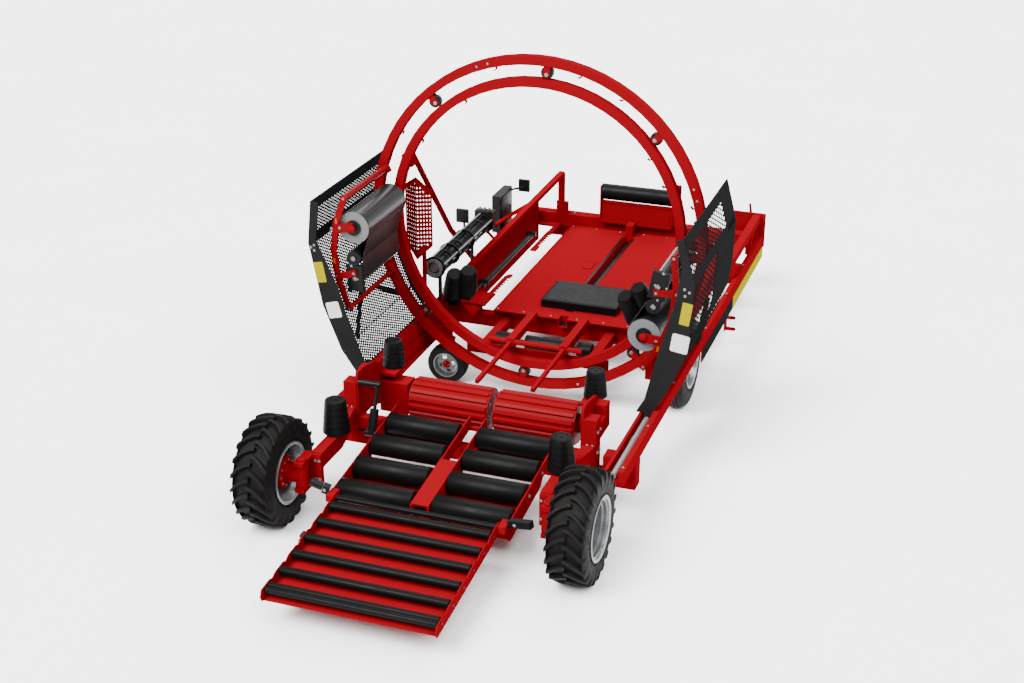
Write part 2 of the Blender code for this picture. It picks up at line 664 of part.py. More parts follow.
# Small left wheel on its swivel.
crown = 2 * CASTOR_R + 0.012
fused("castor_bracket", [
    of_rod((CASTOR[0], CASTOR[1], crown + 0.0505), (CASTOR[0], CASTOR[1], crown + 0.140), 0.042, steps=20),
    of_box((RAIL_WEB - 0.017 + GAP, CASTOR[0] + 0.02), (CASTOR[1] - 0.040, CASTOR[1] + 0.040),
           (RAIL_Z1 + 0.015, RAIL_Z1 + 0.060)),
], paint, parent=chassis)
swivel = empty("castor_swivel", (CASTOR[0], CASTOR[1], CASTOR_R), chassis)
leg = CASTOR_W / 2 + 0.012
fused("castor_fork", [
    of_rod((CASTOR[0], CASTOR[1], crown + 0.012), (CASTOR[0], CASTOR[1], crown + 0.050), 0.045, steps=20),
    of_box((CASTOR[0] - 0.034, CASTOR[0] + 0.034), (CASTOR[1] - 0.050, CASTOR[1] + leg + 0.010),
           (crown, crown + 0.020)),
    of_box((CASTOR[0] - 0.028, CASTOR[0] + 0.028), (CASTOR[1] + leg, CASTOR[1] + leg + 0.009),
           (CASTOR_R - 0.03, crown + 0.010)),
    of_rod((CASTOR[0], CASTOR[1] + leg + 0.005, CASTOR_R), (CASTOR[0], CASTOR[1] - 0.060, CASTOR_R), 0.018,
           steps=22),
], paint, (CASTOR[0], CASTOR[1], CASTOR_R), swivel)
castor_at = (CASTOR[0], CASTOR[1], CASTOR_R)
castor_hub = empty("spin_castor", castor_at, swivel)
single("castor_tyre", of_lathe(tyre_profile(CASTOR_R, CASTOR_RIM, CASTOR_W), "y", castor_at, 22), rubber,
       castor_at,
       castor_hub)
single("castor_rim", of_lathe([(CASTOR_RIM - 0.0005, -0.056), (CASTOR_RIM + 0.006, -0.072),
                               (CASTOR_RIM - 0.012, -0.072),
                               (CASTOR_RIM - 0.022, -0.035), (0.0183, -0.046), (0.0183, -0.030),
                               (CASTOR_RIM - 0.022, -0.019), (CASTOR_RIM - 0.022,
                                                              0.050), (CASTOR_RIM - 0.0005, 0.060)],
                              "y", castor_at, 22), silver, castor_at, castor_hub)

# Hoop: fixed ring, turning ring with its casters.
half_t = RING_T / 2
half_w = RING_W / 2
fused("fixed_ring", [
    of_lathe([(RING_R - half_t, -half_w), (RING_R + half_t, -half_w), (RING_R + half_t, half_w),
              (RING_R - half_t, half_w)], "y", (0, 0, HOOP_Z), 64),
    of_bar((-RING_R + 0.075, half_w - 0.010, HOOP_Z + 0.42),
           (-RING_R + 0.075, half_w + 0.075, HOOP_Z + 0.42), 0.085, 0.095),
    of_bar((RING_R - 0.078, half_w - 0.010, HOOP_Z + 0.40), (RING_R - 0.078, half_w + 0.060, HOOP_Z + 0.40),
           0.080, 0.090),
], paint, (0, 0, HOOP_Z), chassis)

rotor = empty("rotor_spin", (0, 0, HOOP_Z), chassis)
caster_r = RING_R + half_t + CASTER_WHEEL_R + GAP


def caster_wheels(bm):
    for k in range(CASTERS):
        x, z = polar(caster_r, CASTER_START + 360 * k / CASTERS)
        rod(bm, (x, -0.024, z), (x, 0.024, z), CASTER_WHEEL_R, steps=14)


def caster_brackets(bm):
    for k in range(CASTERS):
        for face in (-1, 1):
            x0, z0 = polar(ROTOR_R - half_t + 0.012, CASTER_START + 360 * k / CASTERS)
            x1, z1 = polar(caster_r - 0.012, CASTER_START + 360 * k / CASTERS)
            bar(bm, (x0, face * 0.0265, z0), (x1, face * 0.0265, z1), 0.052, 0.008, up=(0, 1, 0))


fused("turning_ring", [
    of_lathe([(ROTOR_R - half_t, -half_w), (ROTOR_R + half_t, -half_w), (ROTOR_R + half_t, half_w),
              (ROTOR_R - half_t, half_w)], "y", (0, 0, HOOP_Z), 64),
    caster_brackets,
    caster_wheels,
], paint, (0, 0, HOOP_Z), rotor)

# Film stretchers: two tubes along Y, a bowed end plate, the film roll and two stretch rollers.
ARM_LINE = (                    # out from the turning ring's middle, along the hoop
    (-0.128, -0.450),
    (-0.035, -0.230),
    (0.002, -0.020),
    (-0.010, 0.200),
    (-0.080, 0.455),
)
near = SWEEP_BACK + 0.020
for name, angle in STRETCHERS:
    out = Vector((math.cos(math.radians(angle)), 0, math.sin(math.radians(angle))))
    along = Vector((-out.z, 0, out.x))
    ring_middle = Vector((0, 0, HOOP_Z)) + out * ROTOR_R

    def at(o, a, y):
        point = ring_middle + out * o + along * a
        return (point.x, y, point.z)
    plates = []
    for (o0, a0), (o1, a1) in zip(ARM_LINE, ARM_LINE[1:]):
        way = Vector((o1 - o0, a1 - a0)).normalized() * 0.012
        plates.append(of_bar(at(o0 - way.x, a0 - way.y, near + 0.0007 * len(plates)),
                             at(o1 + way.x, a1 + way.y, near + 0.0007 * len(plates)),
                             0.050 - 0.001 * len(plates), 0.016, (0, 1, 0)))
    fused("stretcher_" + name, [
        of_rod(at(-0.122, -0.440, -0.050), at(-0.122, -0.440, near + 0.002), 0.024, steps=16),
        of_rod(at(-0.080, 0.450, -0.050), at(-0.080, 0.450, near + 0.003), 0.020, steps=16),
    ] + plates + [
        of_bar(at(-0.150, -0.440, -0.056), at(-0.070, -0.400, -0.056), 0.060, 0.040, (0, 1, 0)),
        of_bar(at(-0.105, 0.450, -0.057), at(-0.055, 0.370, -0.057), 0.045, 0.042, (0, 1, 0)),
        of_bar(at(-0.020, -0.200, near + 0.0012), at(-0.180, -0.215, near + 0.0012), 0.070, 0.0166,
               (0, 1, 0)),
        of_bar(at(-0.010, 0.190, near + 0.0013), at(-0.170, 0.150, near + 0.0013), 0.050, 0.0168,
               (0, 1, 0)),
    ], paint, (0, 0, HOOP_Z), rotor)
    single("film_" + name, of_rod(at(-0.170, -0.205, -0.105), at(-0.170, -0.205, near + 0.0105), FILM_R,
                                  steps=32), film,
           (0, 0, HOOP_Z), rotor)
    rollers = [of_rod(at(-0.150, spot, -0.11), at(-0.150, spot, near + 0.0105), STRETCH_ROLL_R, steps=20)
               for spot in (0.040, 0.200)]
    rollers.append(of_bar(at(-0.150, -0.02, -0.099), at(-0.150, 0.25, -0.099), 0.028, 0.080, out))
    rollers.append(of_bar(at(-0.145, 0.10, near + 0.030), at(-0.145, 0.31, near + 0.030), 0.036, 0.130,
                          out))
    fused("stretch_rollers_" + name, rollers, black, (0, 0, HOOP_Z), rotor)

# Guards beside the hoop.
GUARD_ROWS = {                  # side: rear x and z, front x and z, from the top row down
    -1: ((1.353, 1.912, 1.353, 1.912), (1.486, 1.553, 1.486, 1.553), (1.110, 0.475, 1.110, 0.475)),
    1: ((1.353, 1.912, 1.353, 1.912), (1.486, 1.553, 1.486, 1.553), (1.195, 0.505, 1.261, 0.800)),
}


def guard_sheet(side):
    def fill(bm):
        loops = []
        for y, ix, iz in ((GUARD_Y[0], 0, 1), (GUARD_Y[1], 2, 3)):
            rows = GUARD_ROWS[side]
            outer = [bm.verts.new((side * row[ix], y, row[iz])) for row in rows]
            inside = [bm.verts.new((side * (row[ix] - GUARD_T), y, row[iz])) for row in reversed(rows)]
            loops.append(outer + inside)
            bm.faces.new(loops[-1])
        for i in range(len(loops[0])):
            j = (i + 1) % len(loops[0])
            bm.faces.new((loops[0][i], loops[0][j], loops[1][j], loops[1][i]))
    return fill


def near_plate(side, foot):
    """The solid plate across a guard's rear edge: from the fold down to its foot, a list of x and z."""
    fold = GUARD_ROWS[side][1]
    low = GUARD_ROWS[side][2]
    outline = [(fold[0] - 0.001, fold[1]), (low[0] - 0.001, low[1] + 0.001)] + foot + [(fold[0] - 0.085,
                                                                                        fold[1] + 0.010)]
    return of_prism([(side * x, z) for x, z in outline], "y", GUARD_Y[0] + 0.001, GUARD_Y[0] + 0.007)


fused("guard_left", [
    guard_sheet(-1),
    near_plate(-1, [(-RAIL_OUT + 0.002, 0.476), (-RAIL_OUT + 0.002, RAIL_TOP + 0.003),
                    (-RAIL_OUT - 0.097, RAIL_TOP + 0.003)]),
    of_box((-1.125, RAIL_OUT - GAP), (-0.84, -0.76), (RAIL_TOP - 0.05, RAIL_TOP - 0.005)),
    of_box((-1.126, RAIL_OUT - GAP), (0.32, 0.40), (RAIL_TOP - 0.051, RAIL_TOP - 0.006)),
], black, parent=chassis)
strut_y = GUARD_Y[1] - 0.076
fused("guard_right", [
    guard_sheet(1),
    near_plate(1, [(TROUGH_IN + 0.035, 0.506), (TROUGH_IN + 0.035, BEAM_Z1 - 0.025),
                   (TROUGH_IN - 0.054, BEAM_Z1 - 0.025)]),
    of_bar((BEAM_OUT - 0.020, strut_y, BEAM_Z1 + 0.02), (1.300, strut_y, 0.97), 0.040, 0.036, (1, 0, 0)),
    of_box((BEAM_OUT - 0.055, BEAM_OUT - 0.005), (strut_y - 0.06, strut_y + 0.06),
           (BEAM_Z1 + GAP, BEAM_Z1 + 0.030)),
], black, parent=chassis)


# Roller platform between the posts.
def platform_z(y):
    share = (y - PLAT_Y[0]) / (PLAT_Y[1] - PLAT_Y[0])
    return PLAT_Z[0] + share * (PLAT_Z[1] - PLAT_Z[0])


PLAT_STEP = PLAT_Y[0] + 0.640     # in front of it the platform has no tray and shallower sides


def strip(low, low_front, high):
    """A sloping strip of the platform's side view, deeper behind the step."""
    return [(PLAT_Y[0], platform_z(PLAT_Y[0]) + low), (PLAT_STEP, platform_z(PLAT_STEP) + low),
            (PLAT_STEP + 0.05, platform_z(PLAT_STEP + 0.05) + low_front), (PLAT_Y[1],
                                                                           platform_z(PLAT_Y[1]) + low_front),
            (PLAT_Y[1], platform_z(PLAT_Y[1]) + high), (PLAT_Y[0], platform_z(PLAT_Y[0]) + high)]


row_step = 0.285
PLAT_ROWS = [PLAT_Y[0] + 0.10 + k * row_step for k in range(PLAT_ROLLS)]
UNDER = PLAT_ROLL_R + 0.006       # how deep the tray lies under the roller axes
parts = [of_prism(strip(-UNDER - 0.012, -0.052, 0.046), "x", x, x + 0.012)
         for x in (-PLAT_HALF - 0.012, -PLAT_MID, PLAT_MID - 0.012, PLAT_HALF)]
rear = PLAT_Y[0] + 0.010
parts.append(of_prism([(rear, platform_z(rear) - UNDER - 0.009),
                       (PLAT_STEP - 0.005, platform_z(PLAT_STEP) - UNDER - 0.009),
                       (PLAT_STEP - 0.005, platform_z(PLAT_STEP) - UNDER), (rear,
                                                                            platform_z(rear) - UNDER)],
                      "x", -PLAT_HALF - 0.0105, PLAT_HALF + 0.0105))
front_z = platform_z(PLAT_Y[1] - 0.03)
parts.append(of_box((-PLAT_HALF - 0.011, PLAT_HALF + 0.011), (PLAT_Y[1] - 0.050, PLAT_Y[1] - 0.010),
                    (front_z - 0.046, front_z - 0.020)))
for side in (-1, 1):
    parts.append(of_box(across(side, RAMP_HALF + GAP, PLAT_HALF + 0.010),
                        (RAMP_HINGE[0] - 0.025, PLAT_Y[0] + 0.019),
                        (RAMP_HINGE[1] - 0.030, RAMP_HINGE[1] + 0.020)))
parts.append(of_prism([(rear, platform_z(rear) + 0.040), (PLAT_STEP - 0.08,
                                                          platform_z(PLAT_STEP - 0.08) + 0.040),
                       (PLAT_STEP - 0.08, platform_z(PLAT_STEP - 0.08) + 0.052), (rear,
                                                                                  platform_z(rear) + 0.052)],
                      "x", -PLAT_MID + 0.001, PLAT_MID - 0.001))
fused("platform_frame", parts, paint, parent=chassis)
for side, name in ((-1, "left"), (1, "right")):
    x0 = side * (PLAT_MID + GAP)
    x1 = side * (PLAT_HALF - GAP)
    parts = [of_rod((x0 + side * 0.012, y, platform_z(y)), (x1 - side * 0.012, y, platform_z(y)),
                    PLAT_ROLL_R, steps=18)
             for y in PLAT_ROWS]
    y0 = PLAT_ROWS[0] - 0.02
    y1 = PLAT_ROWS[-1] + 0.02
    for x in (x0 + side * 0.007, x1 - side * 0.007):
        parts.append(of_bar((x, y0, platform_z(y0)), (x, y1, platform_z(y1)), 0.0139, 0.03))
    fused("platform_rollers_" + name, parts, black, parent=chassis)

# Lift cylinder on the left, from the post's plate down to the platform's side.
lift_x = -(PLAT_HALF + 0.012) - 0.050
lift_low = (lift_x, POST_Y - 0.17, platform_z(POST_Y - 0.17))
lift_high = (lift_x, POST_Y - 0.03, 0.72)
lift_mid = tuple(a + 0.5 * (b - a) for a, b in zip(lift_low, lift_high))
fused("lift_cylinder", [
    of_rod(lift_low, lift_mid, 0.034, steps=12),
    of_rod(lift_mid, lift_high, 0.014, steps=8),
    of_rod((lift_x + 0.022, lift_high[1], lift_high[2]), (-POST_LOW + 0.012 + GAP, lift_high[1],
                                                          lift_high[2]), 0.024, steps=12),
    of_rod((-(PLAT_HALF + 0.012) - GAP, lift_low[1], lift_low[2]),
           (lift_x - 0.048, lift_low[1], lift_low[2]), 0.022, steps=12),
], black, parent=chassis)

# Tail ramp.
tilt = (RAMP_HINGE[1] - RAMP_END[1]) / (RAMP_HINGE[0] - RAMP_END[0])
hinge = (0, RAMP_HINGE[0], RAMP_HINGE[1])
ramp = empty("ramp_fold", hinge, chassis)


def ramp_z(y):
    return RAMP_HINGE[1] + tilt * (y - RAMP_HINGE[0])


ramp_step = (RAMP_HINGE[0] - RAMP_END[0] - 0.160) / (RAMP_ROLLS - 1)
RAMP_ROWS = [RAMP_END[0] + 0.060 + k * ramp_step for k in range(RAMP_ROLLS)]
flange = [(RAMP_HINGE[0] + 0.02, 0.030), (RAMP_HINGE[0] + 0.02, -0.060), (RAMP_END[0], -0.060),
          (RAMP_END[0] - 0.02, -0.020),
          (RAMP_END[0], 0.024)]
for y in RAMP_ROWS[:-1]:
    flange += [(y + ramp_step * 0.30, 0.024), (y + ramp_step * 0.50, 0.006), (y + ramp_step * 0.70, 0.024)]
flange = [(y, ramp_z(y) + z) for y, z in flange]
tray = [(RAMP_HINGE[0] - 0.05, -0.055), (RAMP_END[0] + 0.005, -0.055), (RAMP_END[0] + 0.005, -0.047),
        (RAMP_HINGE[0] - 0.05, -0.047)]
tray = [(y, ramp_z(y) + z) for y, z in tray]
parts = [of_prism(flange, "x", *across(side, RAMP_HALF, RAMP_HALF - PLATE)) for side in (-1, 1)]
parts.append(of_prism(tray, "x", -RAMP_HALF + 0.001, RAMP_HALF - 0.001))
parts.append(of_rod((-RAMP_HALF + 0.001, hinge[1], hinge[2]), (RAMP_HALF - 0.001, hinge[1], hinge[2]),
                    0.018))
fused("ramp_tray", parts, paint, hinge, ramp)
parts = [of_rod((-RAMP_HALF + PLATE + GAP, y, ramp_z(y)), (RAMP_HALF - PLATE - GAP, y, ramp_z(y)),
                RAMP_ROLL_R, steps=12)
         for y in RAMP_ROWS]
low = ramp_z(RAMP_ROWS[0]) - 0.020
link_x = -RAMP_HALF + PLATE + 0.010
parts.append(of_bar((link_x, RAMP_ROWS[0] - 0.01, low), (link_x, RAMP_ROWS[-1] + 0.01,
                                                         low + tilt * (RAMP_ROWS[-1] - RAMP_ROWS[0])),
                    0.016, 0.024))
fused("ramp_rollers", parts, black, hinge, ramp)

# Ribbed drums in front of the platform.
for side, name in ((-1, "left"), (1, "right")):
    low, high = drum_ends[side]
    outer_end = high if side > 0 else low
    outline = []
    step = 360 / DRUM_RIBS
    for k in range(DRUM_RIBS):
        for shift, radius in ((-0.20, DRUM_R), (0.20, DRUM_R), (0.32, DRUM_R - 0.014),
                              (0.68, DRUM_R - 0.014)):
            turn = math.radians((k + shift) * step)
            outline.append((DRUM_Y + radius * math.cos(turn), DRUM_Z + radius * math.sin(turn)))
    middle = ((low + high) / 2, DRUM_Y, DRUM_Z)
    spin = empty("spin_drum_" + name, middle, chassis)
    fused("drum_" + name, [
        of_prism(outline, "x", low + 0.012, high - 0.012),
        of_rod((low, DRUM_Y, DRUM_Z), (low + 0.014, DRUM_Y, DRUM_Z), DRUM_R - 0.012, steps=32),
        of_rod((high, DRUM_Y, DRUM_Z), (high - 0.014, DRUM_Y, DRUM_Z), DRUM_R - 0.012, steps=32),
        of_rod((outer_end - side * 0.01, DRUM_Y, DRUM_Z), (outer_end + side * DRUM_COLLAR, DRUM_Y, DRUM_Z),
               0.070, steps=24),
    ], paint, middle, spin)

# Deck with the pusher's slot, its pad, and what carries it.
deck_y = (DECK_BACK, DECK_FRONT)
fused("deck", [
    of_box((DECK_X[0], SLOT[0]), deck_y, (DECK_Z - 0.008, DECK_Z)),
    of_box((SLOT[1], DECK_X[1]), deck_y, (DECK_Z - 0.008, DECK_Z)),
    of_box((SLOT[0] - 0.008, SLOT[0]), deck_y, (DECK_Z - 0.07, DECK_Z - 0.001)),
    of_box((SLOT[1], SLOT[1] + 0.008), deck_y, (DECK_Z - 0.07, DECK_Z - 0.001)),
    of_box((SLOT[0] - 0.007, SLOT[1] + 0.007), deck_y, (DECK_Z - 0.078, DECK_Z - 0.069)),
    of_box((DECK_X[0] + 0.01, DECK_X[1] - 0.01), MID_CROSS, (RAIL_Z1 - 0.005 + GAP, DECK_Z - 0.001)),
    of_box((DECK_X[0] + 0.01, DECK_X[1] - 0.01), (DECK_FRONT - 0.05, FRONT_CROSS[0] - GAP),
           (RAIL_Z1, DECK_Z - 0.002)),
    of_box((DECK_X[0] + 0.002, DECK_X[0] + 0.010), (DECK_BACK + 0.001, DECK_FRONT - 0.001),
           (DECK_Z - 0.06, DECK_Z - 0.001)),
    of_box((DECK_X[1] - 0.010, DECK_X[1] - 0.002), (DECK_BACK + 0.002, DECK_FRONT - 0.002),
           (DECK_Z - 0.06, DECK_Z - 0.001)),
], paint, parent=chassis)
single("deck_pad", of_box((-0.200, 0.460), PAD_Y, (DECK_Z + GAP, DECK_Z + 0.080)), black, parent=chassis)

fused("ring_mounts", [
    of_box((-0.60, 0.60), (half_w + GAP, 0.075), (HOOP_Z - RING_R + 0.001, HOOP_Z - RING_R + 0.083)),
    of_box((-0.50, -0.42), (0.070, MID_CROSS[0] - GAP), (0.340, 0.418)),
    of_box((0.42, 0.50), (0.070, MID_CROSS[0] - GAP), (0.340, 0.418)),
], paint, parent=chassis)

# Support fingers that run back through the hoop, and the rollers between them and the deck.
FINGERS = (-0.200, 0.250)       # x
FINGER_BACK = -0.800
parts = [of_rod((-0.390, -0.012, 0.505), (0.400, -0.012, 0.505), 0.022, steps=16)]
for x in FINGERS:
    parts.append(of_box((x - 0.034, x + 0.034), (-0.030, DECK_BACK - GAP), (0.470, 0.535)))
    parts.append(of_box((x - 0.015, x + 0.015), (FINGER_BACK, 0.0), (0.487, 0.517)))
    parts.append(of_box((x - 0.030, x + 0.030), (DECK_BACK - 0.10, DECK_BACK - GAP - 0.001),
                        (0.430, 0.480)))
fused("support_fingers", parts, paint, parent=chassis)
roller_z = 0.400
fused("deck_rollers", [
    of_rod((-0.410, 0.240, roller_z), (-0.245, 0.240, roller_z), 0.060, steps=18),
    of_rod((-0.155, 0.240, roller_z), (0.205, 0.240, roller_z), 0.060, steps=18),
    of_rod((0.295, 0.240, roller_z), (0.410, 0.240, roller_z), 0.060, steps=18),
    of_rod((-0.420 + GAP, 0.240, roller_z), (0.420 - GAP, 0.240, roller_z), 0.014, steps=12),
], black, parent=chassis)

# Left side of the deck: wall, sloping guide bar, toothed racks and rods.
WALL_X = RAIL_IN + 0.055
WALL_Y = (0.900, FRONT_CROSS[0] - GAP)
WALL_TOP = 0.700
apex = (-0.690, FRONT_CROSS[0] + 0.080, 0.985)


def rack(y0, y1):
    """A flat bar with teeth along its inner edge, as an outline in x and y."""
    outline = [(-0.725, y0), (-0.725, y1 - 0.06), (-0.700, y1), (-0.665, y1)]
    count = int((y1 - y0 - 0.16) / 0.055)
    for k in range(count):
        y = y1 - 0.08 - k * 0.055
        outline += [(-0.665, y), (-0.688, y - 0.010), (-0.688, y - 0.045), (-0.665, y - 0.055)]
    outline.append((-0.665, y0))
    return outline


fused("deck_side", [
    of_box((WALL_X - 0.012, WALL_X), WALL_Y, (RAIL_Z0 + 0.013 + GAP, WALL_TOP)),
    of_box((RAIL_WEB + GAP, WALL_X - 0.002), (WALL_Y[0] + 0.02, WALL_Y[0] + 0.06), (0.33, 0.41)),
    of_box((RAIL_WEB + GAP, WALL_X - 0.002), (WALL_Y[1] - 0.10, WALL_Y[1] - 0.06), (0.33, 0.41)),
    of_box((WALL_X - 0.060, WALL_X + 0.010), (WALL_Y[0] - 0.010, WALL_Y[0] + 0.002),
           (0.33, WALL_TOP + 0.012)),
    of_bar((WALL_X - 0.020, WALL_Y[0] - 0.005, WALL_TOP), apex, 0.056, 0.040),
    of_box((apex[0] - 0.026, apex[0] + 0.026), (apex[1] - 0.045, apex[1] + 0.018),
           (FRONT_Z[1] + GAP, apex[2] - 0.005)),
    of_prism(rack(0.620, 1.360), "z", DECK_Z - 0.006, DECK_Z + 0.004),
    of_prism(rack(1.990, 2.580), "z", DECK_Z - 0.006, DECK_Z + 0.004),
    of_box((-0.720, -0.670), (2.50, WALL_Y[1] - 0.001), (DECK_Z - 0.016, DECK_Z + 0.003)),
    of_box((WALL_X - 0.004, -0.700), (WALL_Y[1] - 0.075, WALL_Y[1] - 0.002),
           (DECK_Z - 0.017, DECK_Z + 0.002)),
    of_box((WALL_X - 0.004, -0.668), (0.640, 0.915), (DECK_Z - 0.018, DECK_Z - 0.002)),
    of_box((-0.800, -0.720), (MID_CROSS[0] + 0.01, MID_CROSS[1] - 0.01),
           (RAIL_Z1 - 0.005 + GAP, DECK_Z - 0.010)),
    of_prism([(-0.955, 0.440), (-0.690, 0.440), (-0.690, 0.500), (-0.905, 0.705), (-0.955, 0.705)], "y",
             0.400, 0.424),
    of_box((WALL_X - 0.010, -0.700), (0.4005, 0.660), (0.455, 0.480)),
    of_tube([(-1.010, 1.60, 0.790), (-0.930, 2.08, 0.800), (-0.815, 2.44, 0.830), (-0.722, 2.62, 0.945)],
            0.020, 10),
    of_rod((-1.005, 1.61, 0.788), (WALL_X - 0.006, 1.61, 0.690), 0.014, steps=8),
], paint, parent=chassis)
fused("guide_rods", [
    of_box((WALL_X + GAP, WALL_X + 0.0923), (2.391, 2.431), (DECK_Z - 0.0207, DECK_Z + 0.0203)),
    of_rod((WALL_X + 0.040, WALL_Y[0] + 0.03, DECK_Z), (WALL_X + 0.040, 2.42, DECK_Z), 0.012, steps=10),
    of_rod((WALL_X + 0.075, WALL_Y[0] + 0.11, DECK_Z), (WALL_X + 0.075, 2.419, DECK_Z), 0.0122, steps=10),
    of_box((WALL_X + GAP, WALL_X + 0.0917), (1.10, 1.13), (DECK_Z - 0.0193, DECK_Z + 0.0197)),
], black, parent=chassis)

# Front guide cones in pairs: the left pair on the deck's side, the right pair on the inner rail's plate.
LEAN = (0.25, -0.45, 0.86)
for side, name, spots in ((-1, "left", ((0.840, 0.345, 0.700), (0.720, 0.352, 0.740))),
                          (1, "right", ((0.770, 0.240, 0.750), (0.870, 0.247, 0.830)))):
    parts = [of_cone(side * x, y, z, 0.270, (-side * LEAN[0], LEAN[1], LEAN[2])) for x, y, z in spots]
    first, last = spots
    back = 0.400 - GAP if side < 0 else 0.300 - GAP
    parts.append(of_box(across(side, first[0] - 0.05, first[0] + 0.03), (back - 0.09, back),
                        (first[2] - 0.10, first[2] - 0.01)))
    parts.append(of_bar((side * first[0], back - 0.03, first[2] - 0.03),
                        (side * last[0], back - 0.03, last[2] - 0.01), 0.05, 0.05))
    for k, (x, y, z) in enumerate(spots):
        parts.append(of_box(across(side, x - 0.046, x + 0.047), (y - 0.050, back - 0.002 - 0.001 * k),
                            (z - 0.07, z + 0.012)))
    fused("cones_front_" + name, parts, black, parent=chassis)

# Left strut of the hoop and the perforated screen beside it.
single("hoop_strut", of_tube([(-RING_R + 0.075, half_w + 0.075 + 0.024 + GAP, HOOP_Z + 0.460),
                              (RAIL_OUT - 0.030, 0.98, 1.010),
                              (RAIL_OUT + 0.025, 1.42, RAIL_TOP + 0.020)], 0.024, 14), paint, parent=chassis)


def screen(bm):
    """A folded plate in two facets with its slots left to the finish."""
    front = [(-1.185, 0.215), (-1.075, 0.160), (-0.965, 0.215)]
    heights = [(1.150, 1.660), (1.040, 1.740), (1.150, 1.620)]
    loops = []
    for shift in (0.0, 0.006):
        bottom = [bm.verts.new((x, y + shift, z[0])) for (x, y), z in zip(front, heights)]
        top = [bm.verts.new((x, y + shift, z[1])) for (x, y), z in zip(reversed(front), reversed(heights))]
        loops.append(bottom + top)
    near_side, far_side = loops
    for loop in (near_side, list(reversed(far_side))):
        bm.faces.new((loop[0], loop[1], loop[4], loop[5]))
        bm.faces.new((loop[1], loop[2], loop[3], loop[4]))
    for i in range(6):
        j = (i + 1) % 6
        bm.faces.new((near_side[j], near_side[i], far_side[i], far_side[j]))


fused("hoop_screen", [
    screen,
    of_box((-1.085, -1.050), (0.162, 0.286), (1.060, 1.110)),
    of_box((-1.072, -1.046), (0.252, 0.287), (RAIL_TOP + GAP, 1.109)),
], paint, parent=chassis)

# Hydraulic unit on two legs over the left rail: end discs, tie rods, a ribbed core and its valve block.
UNIT_X = -0.985
UNIT_Z = 0.925
UNIT_Y = (0.300, 1.480)
parts = [of_rod((UNIT_X, UNIT_Y[0], UNIT_Z), (UNIT_X, UNIT_Y[0] + 0.035, UNIT_Z), 0.078, steps=14),
         of_rod((UNIT_X, UNIT_Y[1], UNIT_Z), (UNIT_X, UNIT_Y[1] - 0.035, UNIT_Z), 0.078, steps=14),
         of_rod((UNIT_X, UNIT_Y[0] + 0.01, UNIT_Z), (UNIT_X, UNIT_Y[1] - 0.01, UNIT_Z), 0.048, steps=16)]
for k in range(6):
    turn = math.radians(30 + 60 * k)
    x = UNIT_X + 0.066 * math.cos(turn)
    z = UNIT_Z + 0.066 * math.sin(turn)
    parts.append(of_rod((x, UNIT_Y[0] + 0.012, z), (x, UNIT_Y[1] - 0.012, z), 0.009, steps=6))
parts.append(of_box((UNIT_X - 0.085, UNIT_X + 0.085), (UNIT_Y[1] - 0.010, UNIT_Y[1] + 0.075),
                    (UNIT_Z - 0.065, UNIT_Z + 0.100)))
for y in (UNIT_Y[0] + 0.20, UNIT_Y[1] - 0.22):
    parts.append(of_box((-1.035, -1.015), (y, y + 0.04), (RAIL_TOP + GAP, UNIT_Z - 0.02)))
    parts.append(of_box((-1.034, UNIT_X), (y + 0.001, y + 0.039), (UNIT_Z - 0.062, UNIT_Z - 0.021)))
parts.append(of_box((UNIT_X - 0.140, UNIT_X - 0.030), (1.16, 1.19), (UNIT_Z + 0.090, UNIT_Z + 0.210)))
parts.append(of_rod((UNIT_X - 0.070, 1.175, UNIT_Z + 0.030), (UNIT_X - 0.070, 1.175, UNIT_Z + 0.095), 0.010,
                    steps=10))
fused("hydraulic_unit", parts, black, parent=chassis)

# Control cabinet and the front lamp, on a bracket behind the wall.
CABINET = ((-1.062, -0.985), (1.90, 2.24), (0.670, 1.020))
fused("cabinet", [
    of_box(*CABINET),
    of_box((-1.040, -1.005), (2.00, 2.04), (RAIL_TOP + 0.1, 0.672)),
    of_box((-1.055, -1.003), (1.998, 2.042), (RAIL_TOP + GAP, RAIL_TOP + 0.104)),
    of_rod((-1.000, 2.20, 0.990), (-0.900, 2.34, 0.985), 0.010, steps=8),
    of_box((-0.955, -0.850), (2.335, 2.365), (0.940, 1.055)),
], black, parent=chassis)

# Pusher with its roller on top, and its foot in the slot.
push = empty("pusher_slide", (MIDDLE, PUSH_Y, DECK_Z), chassis)
push_x = (MIDDLE + 0.035 - PUSH_HALF, MIDDLE + 0.035 + PUSH_HALF)
roll_at = (PUSH_Y + 0.020, 0.880)
fused("pusher", [
    of_box(push_x, (PUSH_Y - 0.020, PUSH_Y), (DECK_Z + 0.075, 0.800)),
    of_box((push_x[0] - 0.012, push_x[0] + 0.001), (PUSH_Y - 0.035, PUSH_Y + 0.055),
           (FRONT_Z[1] + 0.025, 0.945)),
    of_box((push_x[1] - 0.001, push_x[1] + 0.012), (PUSH_Y - 0.035, PUSH_Y + 0.055),
           (FRONT_Z[1] + 0.025, 0.945)),
    of_box((SLOT[0] + 2 * GAP, SLOT[1] - 2 * GAP), (PUSH_Y - 0.130, DECK_FRONT - 0.060),
           (DECK_Z - 0.05, DECK_Z + 0.115)),
    of_box((SLOT[0] + 3 * GAP, SLOT[1] - 3 * GAP), (PUSH_Y - 0.129, PUSH_Y - 0.019),
           (DECK_Z + 0.010, DECK_Z + 0.114)),
], paint, (MIDDLE, PUSH_Y, DECK_Z), push)
